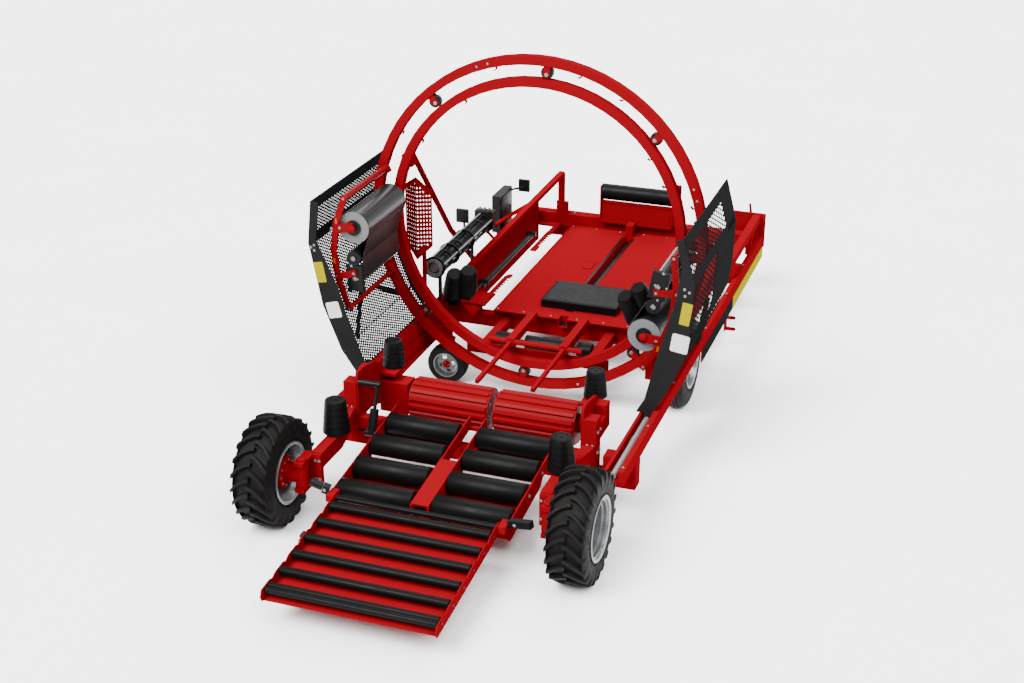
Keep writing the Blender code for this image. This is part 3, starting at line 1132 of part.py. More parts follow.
fused("pusher_roller", [
    of_rod((push_x[0] + 0.006, *roll_at), (push_x[1] - 0.006, *roll_at), PUSH_ROLL_R, steps=24),
    of_rod((push_x[0] + 0.001 + GAP, *roll_at), (push_x[1] - 0.001 - GAP, *roll_at), 0.020, steps=12),
], black, (MIDDLE, PUSH_Y, DECK_Z), push)
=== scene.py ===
import json
import math

import bmesh
import bpy
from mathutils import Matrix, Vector


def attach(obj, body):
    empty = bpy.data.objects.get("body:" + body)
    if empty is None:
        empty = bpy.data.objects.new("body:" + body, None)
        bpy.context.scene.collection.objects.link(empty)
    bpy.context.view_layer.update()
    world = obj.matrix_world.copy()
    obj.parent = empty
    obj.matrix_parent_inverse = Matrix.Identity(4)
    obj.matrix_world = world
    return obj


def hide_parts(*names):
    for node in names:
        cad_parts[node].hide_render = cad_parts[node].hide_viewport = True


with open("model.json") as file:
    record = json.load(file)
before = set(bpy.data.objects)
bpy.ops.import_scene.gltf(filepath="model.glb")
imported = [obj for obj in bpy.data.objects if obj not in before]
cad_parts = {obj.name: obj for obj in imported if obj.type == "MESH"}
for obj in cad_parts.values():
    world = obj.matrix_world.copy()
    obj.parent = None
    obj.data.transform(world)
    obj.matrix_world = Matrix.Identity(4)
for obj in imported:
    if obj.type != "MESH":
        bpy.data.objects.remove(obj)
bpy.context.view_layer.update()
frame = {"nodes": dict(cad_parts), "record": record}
nodes = frame["nodes"]

# Sizes that the dressing shares with the part. +X is the machine's right and +Y its towing end.
HOOP_Z = 1.499
RING_R = 1.162          # the fixed ring, at the middle of its section
ROTOR_R = 1.330         # the turning ring, likewise
RING_T = 0.070
SWEEP_BACK = -0.865     # rearmost y of the turning stretchers
STRETCHERS = (("left", 183.0), ("right", -10.0))
FILM_R = 0.128
REAR_Y = -2.379         # rear wheels
TYRE_R = 0.3935
TYRE_W = 0.280
TRACK = 2.245
RIM_R = 0.212
FRONT_WHEEL = (1.12, 0.37, 0.360)
FRONT_W = 0.200
FRONT_RIM = 0.195
CASTOR = (-0.80, 0.12, 0.170)
CASTOR_W = 0.140
CASTOR_RIM = 0.104
GUARD_Y = (-0.960, 0.446)
DECK_Z = 0.500
POST_IN = 0.853         # inner face of the rear posts
BEAM_FACE = 1.2752      # outer face of the right beam
RAMP_HINGE = (-2.507, 0.343)
RAMP_LONG = 1.080
RAMP_SLOPE = 0.098 / RAMP_LONG
RAMP_STEP = (RAMP_LONG - 0.160) / 5
UNIT = (-0.985, 0.925)  # the hydraulic unit's axis, x and z
SIDES = ((-1, "left"), (1, "right"))
RIGHT = (1, 0, 0)
AHEAD = (0, 1, 0)
REAR = (0, -1, 0)
UP = (0, 0, 1)
TONE = 0.62             # how much darker every finish is than it would be in a dimmer studio


def put(node, values):
    for socket, value in values.items():
        node.inputs[socket].default_value = value


def node_tree(name):
    mat = bpy.data.materials.new(name)
    mat.use_nodes = True
    tree = mat.node_tree
    tree.nodes.clear()
    out = tree.nodes.new("ShaderNodeOutputMaterial")
    bsdf = tree.nodes.new("ShaderNodeBsdfPrincipled")
    tree.links.new(bsdf.outputs[0], out.inputs[0])
    return mat, tree, bsdf


def noise(tree, scale, detail=4.0, rough=0.55, stretch=None):
    coord = tree.nodes.new("ShaderNodeTexCoord")
    tex = tree.nodes.new("ShaderNodeTexNoise")
    put(tex, {"Scale": scale, "Detail": detail, "Roughness": rough})
    source = coord.outputs["Object"]
    if stretch:
        mapping = tree.nodes.new("ShaderNodeMapping")
        put(mapping, {"Scale": stretch})
        tree.links.new(source, mapping.inputs["Vector"])
        source = mapping.outputs[0]
    tree.links.new(source, tex.inputs["Vector"])
    return tex.outputs["Fac"]


def ramp(tree, value, stops):
    node = tree.nodes.new("ShaderNodeValToRGB")
    ends = node.color_ramp.elements
    ends[0].position, ends[0].color = stops[0]
    ends[1].position, ends[1].color = stops[-1]
    for position, colour in stops[1:-1]:
        ends.new(position).color = colour
    tree.links.new(value, node.inputs[0])
    return node.outputs[0]


def spread(tree, value, low, high):
    node = tree.nodes.new("ShaderNodeMapRange")
    put(node, {"From Min": 0.3, "From Max": 0.7, "To Min": low, "To Max": high})
    tree.links.new(value, node.inputs["Value"])
    return node.outputs[0]


def rgba(colour, share=1.0):
    return (colour[0] * share, colour[1] * share, colour[2] * share, 1.0)


def surface(name, colour, rough, grain, metal=0.0, coat=0.0, vary=0.15, scale=9.0, soft=0.003,
            rough_vary=0.08, spec=0.5, stretch=None, dust=None):
    """A paint, plastic, rubber or metal with uneven tone and gloss, a fine skin and soft edges."""
    mat, tree, bsdf = node_tree(name)
    colour = tuple(c * TONE for c in colour)
    tone = ramp(tree, noise(tree, scale, stretch=stretch),
                [(0.25, rgba(colour, 1.0 - vary)), (0.55, rgba(colour)), (0.8, rgba(colour, 1.0 + vary))])
    if dust:
        dust_colour, amount = dust
        mix = tree.nodes.new("ShaderNodeMix")
        mix.data_type = "RGBA"
        tree.links.new(spread(tree, noise(tree, 3.1, 8.0, 0.7), 0.0, amount), mix.inputs["Factor"])
        tree.links.new(tone, mix.inputs["A"])
        mix.inputs["B"].default_value = rgba(dust_colour, TONE)
        tone = mix.outputs["Result"]
    tree.links.new(tone, bsdf.inputs["Base Color"])
    gloss = spread(tree, noise(tree, scale * 2.3, 6.0), rough - rough_vary, rough + rough_vary)
    tree.links.new(gloss, bsdf.inputs["Roughness"])
    put(bsdf, {"Metallic": metal, "Specular IOR Level": spec * TONE, "Coat Weight": coat})
    if coat:
        put(bsdf, {"Coat Roughness": 0.08})
    bump = tree.nodes.new("ShaderNodeBump")
    put(bump, {"Strength": grain[1], "Distance": 0.002})
    tree.links.new(noise(tree, grain[0], 3.0, 0.5, stretch), bump.inputs["Height"])
    if soft:
        bevel = tree.nodes.new("ShaderNodeBevel")
        bevel.samples = 4
        put(bevel, {"Radius": soft})
        tree.links.new(bevel.outputs[0], bump.inputs["Normal"])
    tree.links.new(bump.outputs[0], bsdf.inputs["Normal"])
    return mat


RED = surface("red_paint", (0.210, 0.0030, 0.0072), 0.36, (6.0, 0.004), vary=0.02, scale=3.0,
              spec=0.0, rough_vary=0.02)
RED_GLOSS = surface("red_gloss", (0.195, 0.0020, 0.0055), 0.30, (6.0, 0.004), vary=0.02, scale=3.0,
                    spec=0.03, rough_vary=0.02)
BLACK = surface("black_paint", (0.0052, 0.0052, 0.0056), 0.38, (220.0, 0.05), spec=0.16,
                rough_vary=0.04)
GUARD = surface("guard_black", (0.0150, 0.0150, 0.0156), 0.50, (300.0, 0.04), vary=0.12, soft=0.0,
                spec=0.0)
ROLLER = surface("roller_black", (0.0042, 0.0039, 0.0038), 0.42, (90.0, 0.06), scale=5.0,
                 stretch=(4.0, 40.0, 40.0), spec=0.08)
RUBBER = surface("tyre_rubber", (0.0052, 0.0047, 0.0045), 0.66, (140.0, 0.22), vary=0.25,
                 rough_vary=0.1, spec=0.12, dust=((0.013, 0.012, 0.011), 0.30))
CONE = surface("cone_rubber", (0.0040, 0.0038, 0.0038), 0.44, (110.0, 0.05), spec=0.10)
SILVER = surface("silver_paint", (0.30, 0.31, 0.32), 0.30, (240.0, 0.05), metal=0.75, vary=0.08,
                 rough_vary=0.05, spec=0.4)
DULL = surface("dull_silver", (0.14, 0.145, 0.15), 0.38, (240.0, 0.05), metal=0.6, vary=0.08,
               rough_vary=0.05, spec=0.3)
ZINC = surface("zinc", (0.26, 0.25, 0.24), 0.34, (200.0, 0.08), metal=0.9, soft=0.001)
FILM = surface("wrap_film", (0.0110, 0.0112, 0.0120), 0.30, (2.0, 0.03), vary=0.10, scale=1.0,
               stretch=(6.0, 0.3, 6.0), soft=0.0, spec=0.45, rough_vary=0.02)
FILM_END = surface("film_end", (0.165, 0.165, 0.170), 0.40, (300.0, 0.2), vary=0.12, scale=60.0,
                   soft=0.0, spec=0.2)
CORE = surface("card_core", (0.060, 0.056, 0.052), 0.7, (200.0, 0.2), soft=0.0, spec=0.2)
WHITE = surface("white_plate", (0.80, 0.80, 0.78), 0.35, (200.0, 0.03), vary=0.04, soft=0.0, spec=0.2)
YELLOW = surface("yellow_plate", (0.36, 0.30, 0.0003), 0.38, (200.0, 0.03), vary=0.03, soft=0.0,
                 spec=0.0)
ORANGE = surface("orange_lens", (0.42, 0.06, 0.001), 0.24, (400.0, 0.10), soft=0.0, spec=0.3)
LENS = surface("lamp_lens", (0.014, 0.014, 0.015), 0.16, (500.0, 0.15), coat=0.3, vary=0.2, soft=0.0,
               spec=0.3)
ROD = surface("rod_steel", (0.42, 0.42, 0.43), 0.32, (30.0, 0.01), metal=0.6, vary=0.04, soft=0.0,
              spec=0.3)
PAD = surface("pad_rubber", (0.0030, 0.0030, 0.0033), 0.40, (60.0, 0.05), soft=0.006, spec=0.12)


def frame_of(way):
    """A direction with two others square to it."""
    way = Vector(way).normalized()
    up = Vector(UP) if abs(way.z) < 0.9 else Vector(AHEAD)
    side = way.cross(up).normalized()
    return way, side, side.cross(way).normalized()


def around(count, first=0.0):
    """The angles of so many even steps round a circle."""
    return [2 * math.pi * (k + first) / count for k in range(count)]


def solid_box(bm, x, y, z, bevel=0.0):
    verts = [bm.verts.new((a, b, c)) for a in x for b in y for c in z]
    faces = [bm.faces.new([verts[i] for i in quad]) for quad in
             ((0, 1, 3, 2), (4, 6, 7, 5), (0, 4, 5, 1), (2, 3, 7, 6), (0, 2, 6, 4), (1, 5, 7, 3))]
    if bevel:
        edges = list({e for f in faces for e in f.edges})
        bmesh.ops.bevel(bm, geom=edges, offset=bevel, segments=2, affect="EDGES", profile=0.6)


def solid_bar(bm, start, end, width, height, up=UP, mat=0):
    start = Vector(start)
    end = Vector(end)
    way = (end - start).normalized()
    side = way.cross(Vector(up)).normalized() * width / 2
    top = side.cross(way).normalized() * height / 2
    loops = [[bm.verts.new(point + a * side + b * top) for a, b in ((-1, -1), (1, -1), (1, 1), (-1, 1))]
             for point in (start, end)]
    ring_strip(bm, loops, mat=mat)


def ring_strip(bm, loops, closed_ends=(True, True), mat=0):
    """Joins closed loops of points, with a face at either end where asked."""
    n = len(loops[0])
    for a, b in zip(loops, loops[1:]):
        for i in range(n):
            j = (i + 1) % n
            bm.faces.new((a[i], a[j], b[j], b[i])).material_index = mat
    if closed_ends[0]:
        bm.faces.new(list(reversed(loops[0]))).material_index = mat
    if closed_ends[1]:
        bm.faces.new(loops[-1]).material_index = mat


def turned(bm, points, start, way, steps=32, mat=0, caps=(True, True)):
    """A turned piece: points are (distance along, radius) from start."""
    start = Vector(start)
    way, side, top = frame_of(way)
    loops = [[bm.verts.new(start + way * along + radius * (math.cos(t) * side + math.sin(t) * top))
              for t in around(steps)] for along, radius in points]
    ring_strip(bm, loops, caps, mat)


def lathe(bm, profile, centre, axis, steps, mat=0):
    """Closed turned section: profile is (radius, along), joined last to first."""
    centre = Vector(centre)
    way, side, top = frame_of(axis)
    rings = [[bm.verts.new(centre + (math.cos(t) * side + math.sin(t) * top) * r + way * a)
              for r, a in profile] for t in around(steps)]
    ring_strip(bm, rings + rings[:1], (False, False), mat)


def hex_bolt(bm, at, way, size, mat=0):
    """A hexagon head on a washer."""
    washer = 0.0022
    turned(bm, [(0.0, size * 1.25), (washer, size * 1.25)], at, way, 16, mat)
    head = [(washer, size), (washer + size * 0.55, size), (washer + size * 0.68, size * 0.84)]
    turned(bm, head, at, way, 6, mat, (False, True))


def plate_on(bm, centre, normal, up, width, height, thick=0.0012):
    """A thin blank label or plate on a face, with rounded corners."""
    normal = Vector(normal).normalized()
    up = Vector(up)
    up = (up - normal * up.dot(normal)).normalized()
    side = up.cross(normal).normalized()
    base = Vector(centre)
    corner = 0.12 * min(width, height)
    outline = []
    for sx, sy, first in ((1, 1, 0), (-1, 1, 90), (-1, -1, 180), (1, -1, 270)):
        for k in range(4):
            t = math.radians(first + 30 * k)
            outline.append((sx * (width / 2 - corner) + corner * math.cos(t),
                            sy * (height / 2 - corner) + corner * math.sin(t)))
    low = [bm.verts.new(base + side * x + up * y) for x, y in outline]
    high = [bm.verts.new(base + side * x + up * y + normal * thick) for x, y in outline]
    ring_strip(bm, [low, high])


def piece(name, fill, mats, body="chassis", stands_for=(), angle=35.0):
    """Builds a mesh object from fill(bm), lets it ride on a body and stand for CAD nodes."""
    bm = bmesh.new()
    fill(bm)
    bmesh.ops.recalc_face_normals(bm, faces=bm.faces)
    mesh = bpy.data.meshes.new(name)
    bm.to_mesh(mesh)
    bm.free()
    for mat in mats:
        mesh.materials.append(mat)
    mesh.shade_smooth()
    mesh.set_sharp_from_angle(angle=math.radians(angle))
    obj = bpy.data.objects.new(name, mesh)
    bpy.context.collection.objects.link(obj)
    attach(obj, body)
    if stands_for:
        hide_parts(*stands_for)


def polar(radius, degrees):
    """x and z of a place round the hoop's axis."""
    t = math.radians(degrees)
    return radius * math.cos(t), HOOP_Z + radius * math.sin(t)


# What the CAD nodes get: a finish by their material slot, or one of their own.
LOOKS = {
    "silver_paint": SILVER, "rubber": RUBBER, "bright_steel": ROD, "black_paint": BLACK,
    "red_paint": RED, "film": FILM, "black_rubber": CONE,
}
SPECIAL = {
    "pusher_roller": ROLLER, "deck_rollers": ROLLER, "drum_left": RED_GLOSS, "drum_right": RED_GLOSS,
    "stretcher_left": RED_GLOSS, "stretcher_right": RED_GLOSS,
}
slot_of = {row["node"]: row["material_slot"] for row in frame["record"]["subparts"]}


def smooth_group():
    """Shades a node's round faces smooth and keeps its corners sharp; its shape stays as it is."""
    tree = bpy.data.node_groups.new("round_shading", "GeometryNodeTree")
    for in_out in ("INPUT", "OUTPUT"):
        tree.interface.new_socket("Geometry", in_out=in_out, socket_type="NodeSocketGeometry")
    first = tree.nodes.new("NodeGroupInput")
    last = tree.nodes.new("NodeGroupOutput")
    faces = tree.nodes.new("GeometryNodeSetShadeSmooth")
    faces.domain = "FACE"
    edges = tree.nodes.new("GeometryNodeSetShadeSmooth")
    edges.domain = "EDGE"
    put(edges, {"Shade Smooth": False})
    angle = tree.nodes.new("GeometryNodeInputMeshEdgeAngle")
    test = tree.nodes.new("FunctionNodeCompare")
    test.data_type = "FLOAT"
    test.operation = "GREATER_THAN"
    put(test, {1: math.radians(32)})
    weld = tree.nodes.new("GeometryNodeMergeByDistance")
    put(weld, {"Distance": 0.00002})
    for node, below in ((first, weld), (weld, faces), (faces, edges), (edges, last)):
        tree.links.new(node.outputs[0], below.inputs[0])
    tree.links.new(angle.outputs[0], test.inputs[0])
    tree.links.new(test.outputs[0], edges.inputs["Selection"])
    return tree


round_shading = smooth_group()
for name, obj in nodes.items():
    obj.data.materials.clear()
    obj.data.materials.append(SPECIAL.get(name, LOOKS[slot_of[name]]))
    obj.modifiers.new("round_shading", "NODES").node_group = round_shading


def tyre_section(radius, rim, width, base):
    """A tyre's closed section from bead to bead, as radius and place across."""
    half = width / 2
    section = [(rim, -half * 0.78), (rim + 0.010, -half * 0.90), (rim + 0.022, -half * 0.93),
               (rim + 0.028, -half * 0.90)]
    for share, out in ((0.18, 0.965), (0.30, 0.995), (0.45, 1.0), (0.58, 0.985), (0.70, 0.955),
                       (0.80, 0.915), (0.88, 0.86)):
        section.append((rim + (radius - rim) * share, -half * out))
    section += [(base - 0.012, -half * 0.78), (base - 0.004, -half * 0.55), (base, -half * 0.28),
                (base + 0.001, 0.0)]
    return section + [(r, -a) for r, a in reversed(section[:-1])]


def wall_ring(bm, r, place, proud, centre, axis, steps=96):
    """A raised ring on a tyre's side wall."""
    lathe(bm, [(r, place * 0.955), (r + 0.004, place * proud), (r + 0.008, place * 0.955)],
          centre, axis, steps)


LUGS = 22
LUG_DEPTH = 0.034
# Along a lug: share of the half width, lean in degrees, drop of its top, thickness.
LUG = ((-0.05, 0.0, 0.0, 0.030), (0.14, 0.8, 0.0, 0.029), (0.33, 2.8, 0.0005, 0.028),
       (0.52, 5.6, 0.001, 0.028), (0.70, 9.2, 0.004, 0.029), (0.86, 13.0, 0.008, 0.031),
       (0.955, 15.4, 0.013, 0.032), (1.000, 16.2, 0.042, 0.026))


def farm_tyre(centre):
    def fill(bm):
        base = TYRE_R - LUG_DEPTH
        half = TYRE_W / 2
        lathe(bm, tyre_section(TYRE_R, RIM_R, TYRE_W, base), centre, RIGHT, 96)
        for side in (-1, 1):
            for k in range(LUGS):
                start = 360 * (k + (0.5 if side > 0 else 0.0)) / LUGS
                rows = []
                for share, lean, drop, thick in LUG:
                    top = TYRE_R - drop
                    flank = [(base - 0.010 - drop * 1.05, -1.35), (top - 0.003, -1.0), (top, -0.82)]
                    row = []
                    for r, wide in flank + [(r, -wide) for r, wide in reversed(flank)]:
                        t = math.radians(start + lean) + thick / TYRE_R / 2 * wide
                        row.append(bm.verts.new((centre[0] + side * half * share,
                                                 centre[1] + r * math.cos(t),
                                                 centre[2] + r * math.sin(t))))
                    rows.append(row)
                ring_strip(bm, rows)
        for side in (-1, 1):
            for r in (RIM_R + 0.050, RIM_R + 0.085):
                wall_ring(bm, r, side * half, 1.004, centre, RIGHT)
    return fill


def road_tyre(radius, rim, width, centre, axis, ribs, steps=96):
    def fill(bm):
        half = width / 2
        tread = half * 0.70
        walls = [p for p in tyre_section(radius, rim, width, radius - 0.001) if abs(p[1]) > tread]
        rib = 2 * tread / ribs
        crown = []
        for k in range(ribs):
            at = rib * k - tread
            edge = 0.006 if k in (0, ribs - 1) else 0.0
            crown += [(radius - edge, at + rib * 0.14), (radius - edge * 0.5, at + rib * 0.84)]
            if k < ribs - 1:
                crown += [(radius - 0.010, at + rib * 0.90), (radius - 0.010, at + rib * 1.08)]
        outline = [p for p in walls if p[1] < 0] + crown + [p for p in walls if p[1] > 0]
        lathe(bm, outline, centre, axis, steps)
        for side in (-1, 1):
            wall_ring(bm, rim + 0.035, side * half, 1.005, centre, axis, steps)
    return fill


def wheel_disc(rim, width, centre, out, deep=False):
    """A rolled rim with a dished disc, its nuts, hub cap and valve. out is the side it is seen from."""
    hub = 0.030
    nuts = 6
    nut_circle = 0.085

    def fill(bm):
        half = width / 2
        way, side, top = frame_of(RIGHT)
        flange = [(-0.001, 0.80), (0.012, 0.93), (0.013, 1.0), (0.006, 1.03), (-0.010, 0.98),
                  (-0.017, 0.86), (-0.026, 0.62)]
        outline = [(rim + r, -half * a) for r, a in flange + [(-0.040, 0.40)]]
        outline += [(rim + r, half * a) for r, a in [(-0.042, 0.40)] + flange[::-1]]
        if deep:
            well = [(-0.012, 0.90), (-0.024, 0.88), (-0.026, 0.70), (-0.038, 0.67), (-0.040, 0.46)]
            outline[5:11] = ([(rim + r, -half * a) for r, a in well]
                             + [(rim + r, half * a) for r, a in well[::-1]])
        lathe(bm, outline, centre, way, 96)
        seat = out * half * (-0.10 if deep else 0.05)
        dish = [(rim - 0.039, -0.004), (rim - 0.039, 0.006), (rim - 0.060, 0.018), (rim * 0.66, 0.020),
                (rim * 0.56, -0.006), (rim * 0.50, -0.012), (hub, -0.012), (hub, -0.020),
                (rim * 0.52, -0.020), (rim * 0.58, -0.014), (rim * 0.68, 0.012), (rim - 0.062, 0.010)]
        lathe(bm, [(r, seat + out * a) for r, a in dish], centre, way, 96)
        face = Vector(centre) + way * (seat - out * 0.012)
        for t in around(nuts, 0.25):
            spot = face + nut_circle * (math.cos(t) * side + math.sin(t) * top)
            hex_bolt(bm, spot, way * out, 0.012, 1)
        cap = [(0.0, hub + 0.022), (0.030, hub + 0.020), (0.042, hub + 0.012), (0.046, 0.004)]
        turned(bm, cap, face - way * out * 0.001, way * out, 32, 2)
        valve = 1.1
        spot = (Vector(centre) + (rim * 0.80) * (math.cos(valve) * side + math.sin(valve) * top)
                + way * (seat + out * 0.014))
        turned(bm, [(0.0, 0.005), (0.022, 0.0035), (0.030, 0.0035)], spot, way * out, 10, 1)
    return fill


def hub_drum(side):
    """The brake drum and its bolts behind a rear wheel's disc."""
    def fill(bm):
        inner = side * (TRACK / 2 - 0.120)
        way = (-side, 0, 0)
        turned(bm, [(0.0, 0.088), (0.004, 0.100), (0.020, 0.112), (0.048, 0.114), (0.056, 0.108),
                    (0.058, 0.070)], (inner + side * 0.070, REAR_Y, TYRE_R), way, 48)
        for t in around(10):
            at = (inner + side * 0.0135, REAR_Y + 0.090 * math.cos(t), TYRE_R + 0.090 * math.sin(t))
            hex_bolt(bm, at, way, 0.007, 1)
    return fill


def small_disc(bm):
    """The small left wheel's rim, with four openings in its disc."""
    rim = CASTOR_RIM
    centre = Vector(CASTOR)
    lathe(bm, [(rim - 0.001, -0.056), (rim + 0.006, -0.064), (rim + 0.006, -0.070),
               (rim - 0.006, -0.071), (rim - 0.012, -0.060), (rim - 0.020, -0.038),
               (rim - 0.022, 0.050), (rim - 0.001, 0.060)], centre, AHEAD, 64)
    steps = 96
    quarter = steps // 4
    seat = -0.040
    rows = []
    for r, a in ((0.0190, -0.004), (0.034, -0.004), (0.040, 0.0), (0.048, 0.002), (0.070, 0.002),
                 (0.0815, -0.002)):
        rows.append([bm.verts.new(centre + Vector((r * math.cos(t), seat + a, r * math.sin(t))))
                     for t in around(steps)])
    for i, (a, b) in enumerate(zip(rows, rows[1:])):
        for k in range(steps):
            if i == 3 and k % quarter < 9:
                continue
            j = (k + 1) % steps
            bm.faces.new((a[k], a[j], b[j], b[k])).material_index = 2 if i == 0 else 0
    for t in around(4, 16.5 / quarter):
        spot = centre + Vector((0.057 * math.cos(t), seat + 0.002, 0.057 * math.sin(t)))
        hex_bolt(bm, spot, REAR, 0.0065, 1)


for side, name in SIDES:
    at = (side * TRACK / 2, REAR_Y, TYRE_R)
    body = "wheel_" + name
    piece("farm_tyre_" + name, farm_tyre(at), [RUBBER], body, ["tyre_" + name], 30)
    piece("farm_rim_" + name, wheel_disc(RIM_R, TYRE_W, at, side, deep=side > 0),
          [SILVER, ZINC, RED if side < 0 else SILVER], body, ["rim_" + name])
for side, name in SIDES:
    piece("hub_drum_" + name, hub_drum(side), [RED, ZINC], "wheel_" + name)
piece("front_tyre", road_tyre(FRONT_WHEEL[2], FRONT_RIM, FRONT_W, FRONT_WHEEL, RIGHT, 5),
      [RUBBER], "wheel_front", ["tyre_front"], 30)
piece("front_disc", wheel_disc(FRONT_RIM, FRONT_W, FRONT_WHEEL, 1), [SILVER, ZINC, SILVER],
      "wheel_front", ["rim_front"])
piece("castor_road_tyre", road_tyre(CASTOR[2], CASTOR_RIM, CASTOR_W, CASTOR, AHEAD, 4, 72),
      [RUBBER], "castor_wheel", ["castor_tyre"], 30)
piece("castor_disc", small_disc, [DULL, ZINC, RED], "castor_wheel", ["castor_rim"])


# Guards beside the hoop: a bowed sheet of expanded metal, a solid plate across its rear edge and a
# folded frame. Each row is rear x, rear z, front x, front z.
GUARD_ROWS = {
    -1: ((1.452, 1.868, 1.452, 1.868), (1.487, 1.535, 1.487, 1.535), (1.391, 1.036, 1.391, 1.036),
         (1.251, 0.681, 1.251, 0.681), (1.110, 0.475, 1.110, 0.475)),
    1: ((1.400, 1.915, 1.400, 1.915), (1.487, 1.595, 1.487, 1.595), (1.468, 1.190, 1.474, 1.230),
        (1.436, 1.005, 1.452, 1.060), (1.321, 0.723, 1.372, 0.900), (1.195, 0.505, 1.300, 0.790)),
}
# The plate's inner edge, as x and z from the top down.
PLATE_INNER = {
    -1: ((1.385, 1.861), (1.422, 1.560), (1.345, 1.390), (1.255, 1.190), (1.185, 0.947),
         (1.080, 0.655), (1.030, 0.5405), (1.076, 0.5405), (1.076, 0.478)),
    1: ((1.345, 1.905), (1.395, 1.690), (1.355, 1.442), (1.290, 1.190), (1.222, 0.921),
        (1.160, 0.651), (1.100, 0.546), (1.160, 0.546), (1.160, 0.508)),
}
PLATE_T = 0.006
PITCH = {-1: 0.026, 1: 0.042}       # of the mesh
STRAND_T = {-1: 0.0050, 1: 0.0025}
STRAND_W = 0.0100
MESH_SLOPE = 0.56


def clip_line(poly, point, way):
    """Where a line crosses a convex outline in its own flat axes: two distances along it, or nothing."""
    low = -1e9
    high = 1e9
    sides = list(zip(poly, poly[1:] + poly[:1]))
    area = sum(ax * by - bx * ay for (ax, ay), (bx, by) in sides)
    hand = 1 if area > 0 else -1
    for (ax, ay), (bx, by) in sides:
        nx = -(by - ay) * hand
        ny = (bx - ax) * hand
        inside = (point[0] - ax) * nx + (point[1] - ay) * ny
        rate = way[0] * nx + way[1] * ny
        if abs(rate) < 1e-9:
            if inside < 0:
                return None
        elif rate > 0:
            low = max(low, -inside / rate)
        else:
            high = min(high, -inside / rate)
    return (low, high) if high - low > 0.004 else None


def expanded_mesh(bm, origin, axis_u, axis_v, poly, pitch, thick):
    """Two families of slanted strands inside an outline, as in stretched sheet metal."""
    normal = axis_u.cross(axis_v).normalized()
    for sign in (-1, 1):
        way = Vector((1.0, sign * MESH_SLOPE)).normalized()
        across = Vector((-way.y, way.x))
        span = [Vector(p).dot(across) for p in poly]
        step = pitch / math.sqrt(1 + MESH_SLOPE ** 2)
        base = origin + normal * (0.0020 * sign)
        for k in range(math.floor(min(span) / step), math.ceil(max(span) / step)):
            point = across * (k * step)
            hit = clip_line(poly, point, way)
            if hit:
                a = point + way * hit[0]
                b = point + way * hit[1]
                solid_bar(bm, base + axis_u * a.x + axis_v * a.y, base + axis_u * b.x + axis_v * b.y,
                          STRAND_W, thick, normal)


def guard_sheet(bm, side):
    """The bowed sheet with its frame, and the solid plate across its rear edge."""
    y0 = GUARD_Y[0] + 0.002
    y1 = GUARD_Y[1] - 0.002
    forward = Vector(AHEAD)
    inset = forward * 0.004
    corners = [(Vector((side * (rx - 0.007), y0, rz)), Vector((side * (fx - 0.007), y1, fz)))
               for rx, rz, fx, fz in GUARD_ROWS[side]]
    last = len(corners) - 2
    for i, ((a0, a1), (b0, b1)) in enumerate(zip(corners, corners[1:])):
        down = (b0 - a0).normalized()
        length = (b0 - a0).length
        normal = forward.cross(down).normalized()

        def strip(rear, front, shift, width, thick):
            solid_bar(bm, rear + down * shift + inset, front + down * shift - inset, width, thick, normal)

        solid_bar(bm, a0 + forward * 0.012, b0 + forward * 0.012, 0.024, 0.010, normal)
        solid_bar(bm, a1 - forward * 0.022, b1 - forward * 0.022, 0.044, 0.010, normal)
        if i == 0:
            strip(a0, a1, 0.043, 0.086, 0.010)
            strip(b0, b1, -0.025, 0.050, 0.009)
        if i == 1:
            strip(a0, a1, 0.014, 0.028, 0.009)
        if i == last:
            strip(b0, b1, -0.016, 0.030, 0.010)
        far = y1 - y0 - 0.02
        poly = [(0.02, 0.0), (far, 0.0), (far, (b1 - a1).length), (0.02, length)]
        expanded_mesh(bm, a0, forward, down, poly, PITCH[side], STRAND_T[side])
        if side > 0:
            share = 0.80 if i == 0 else 0.55
            shift = normal * 0.0045
            solid = (a0.lerp(a1, share), a1, b1, b0.lerp(b1, share))
            ring_strip(bm, [[bm.verts.new(p + shift * k) for p in solid] for k in (-1, 1)])
    outline = [(x, z) for x, z, _, _ in GUARD_ROWS[side]] + list(reversed(PLATE_INNER[side]))
    ring_strip(bm, [[bm.verts.new((side * x, y, z)) for x, z in outline]
                    for y in (GUARD_Y[0], GUARD_Y[0] + PLATE_T)])


def guard_left_fill(bm):
    guard_sheet(bm, -1)
    solid_box(bm, (-1.125, -1.0753), (-0.84, -0.76), (0.490, 0.535))
    solid_box(bm, (-1.126, -1.0753), (0.32, 0.40), (0.489, 0.534))
    solid_bar(bm, (-1.356, -0.330, 0.945), (-1.240, -0.697, 0.677), 0.030, 0.016, (1, 0, 0.4))
    solid_bar(bm, (-1.330, -0.159, 0.896), (-1.205, 0.322, 0.620), 0.036, 0.016, (1, 0, 0.4))
    for x, z in ((-1.462, 1.500), (-1.436, 1.478), (-1.436, 1.520)):
        hex_bolt(bm, (x, GUARD_Y[0], z), REAR, 0.009, 1)


def guard_right_fill(bm):
    guard_sheet(bm, 1)
    solid_bar(bm, (1.255, 0.370, 0.590), (1.308, 0.370, 0.940), 0.040, 0.036, RIGHT)
    solid_box(bm, (1.220, 1.270), (0.310, 0.430), (0.5703, 0.600), 0.003)
    for y in (0.325, 0.415):
        hex_bolt(bm, (1.245, y, 0.600), UP, 0.010, 1)
    for x, z in ((1.455, 1.530), (1.425, 1.500), (1.420, 1.550)):
        hex_bolt(bm, (x, GUARD_Y[0], z), REAR, 0.009, 1)


for name, fill in (("left", guard_left_fill), ("right", guard_right_fill)):
    piece("guard_mesh_" + name, fill, [GUARD, ZINC], "chassis", ["guard_" + name])


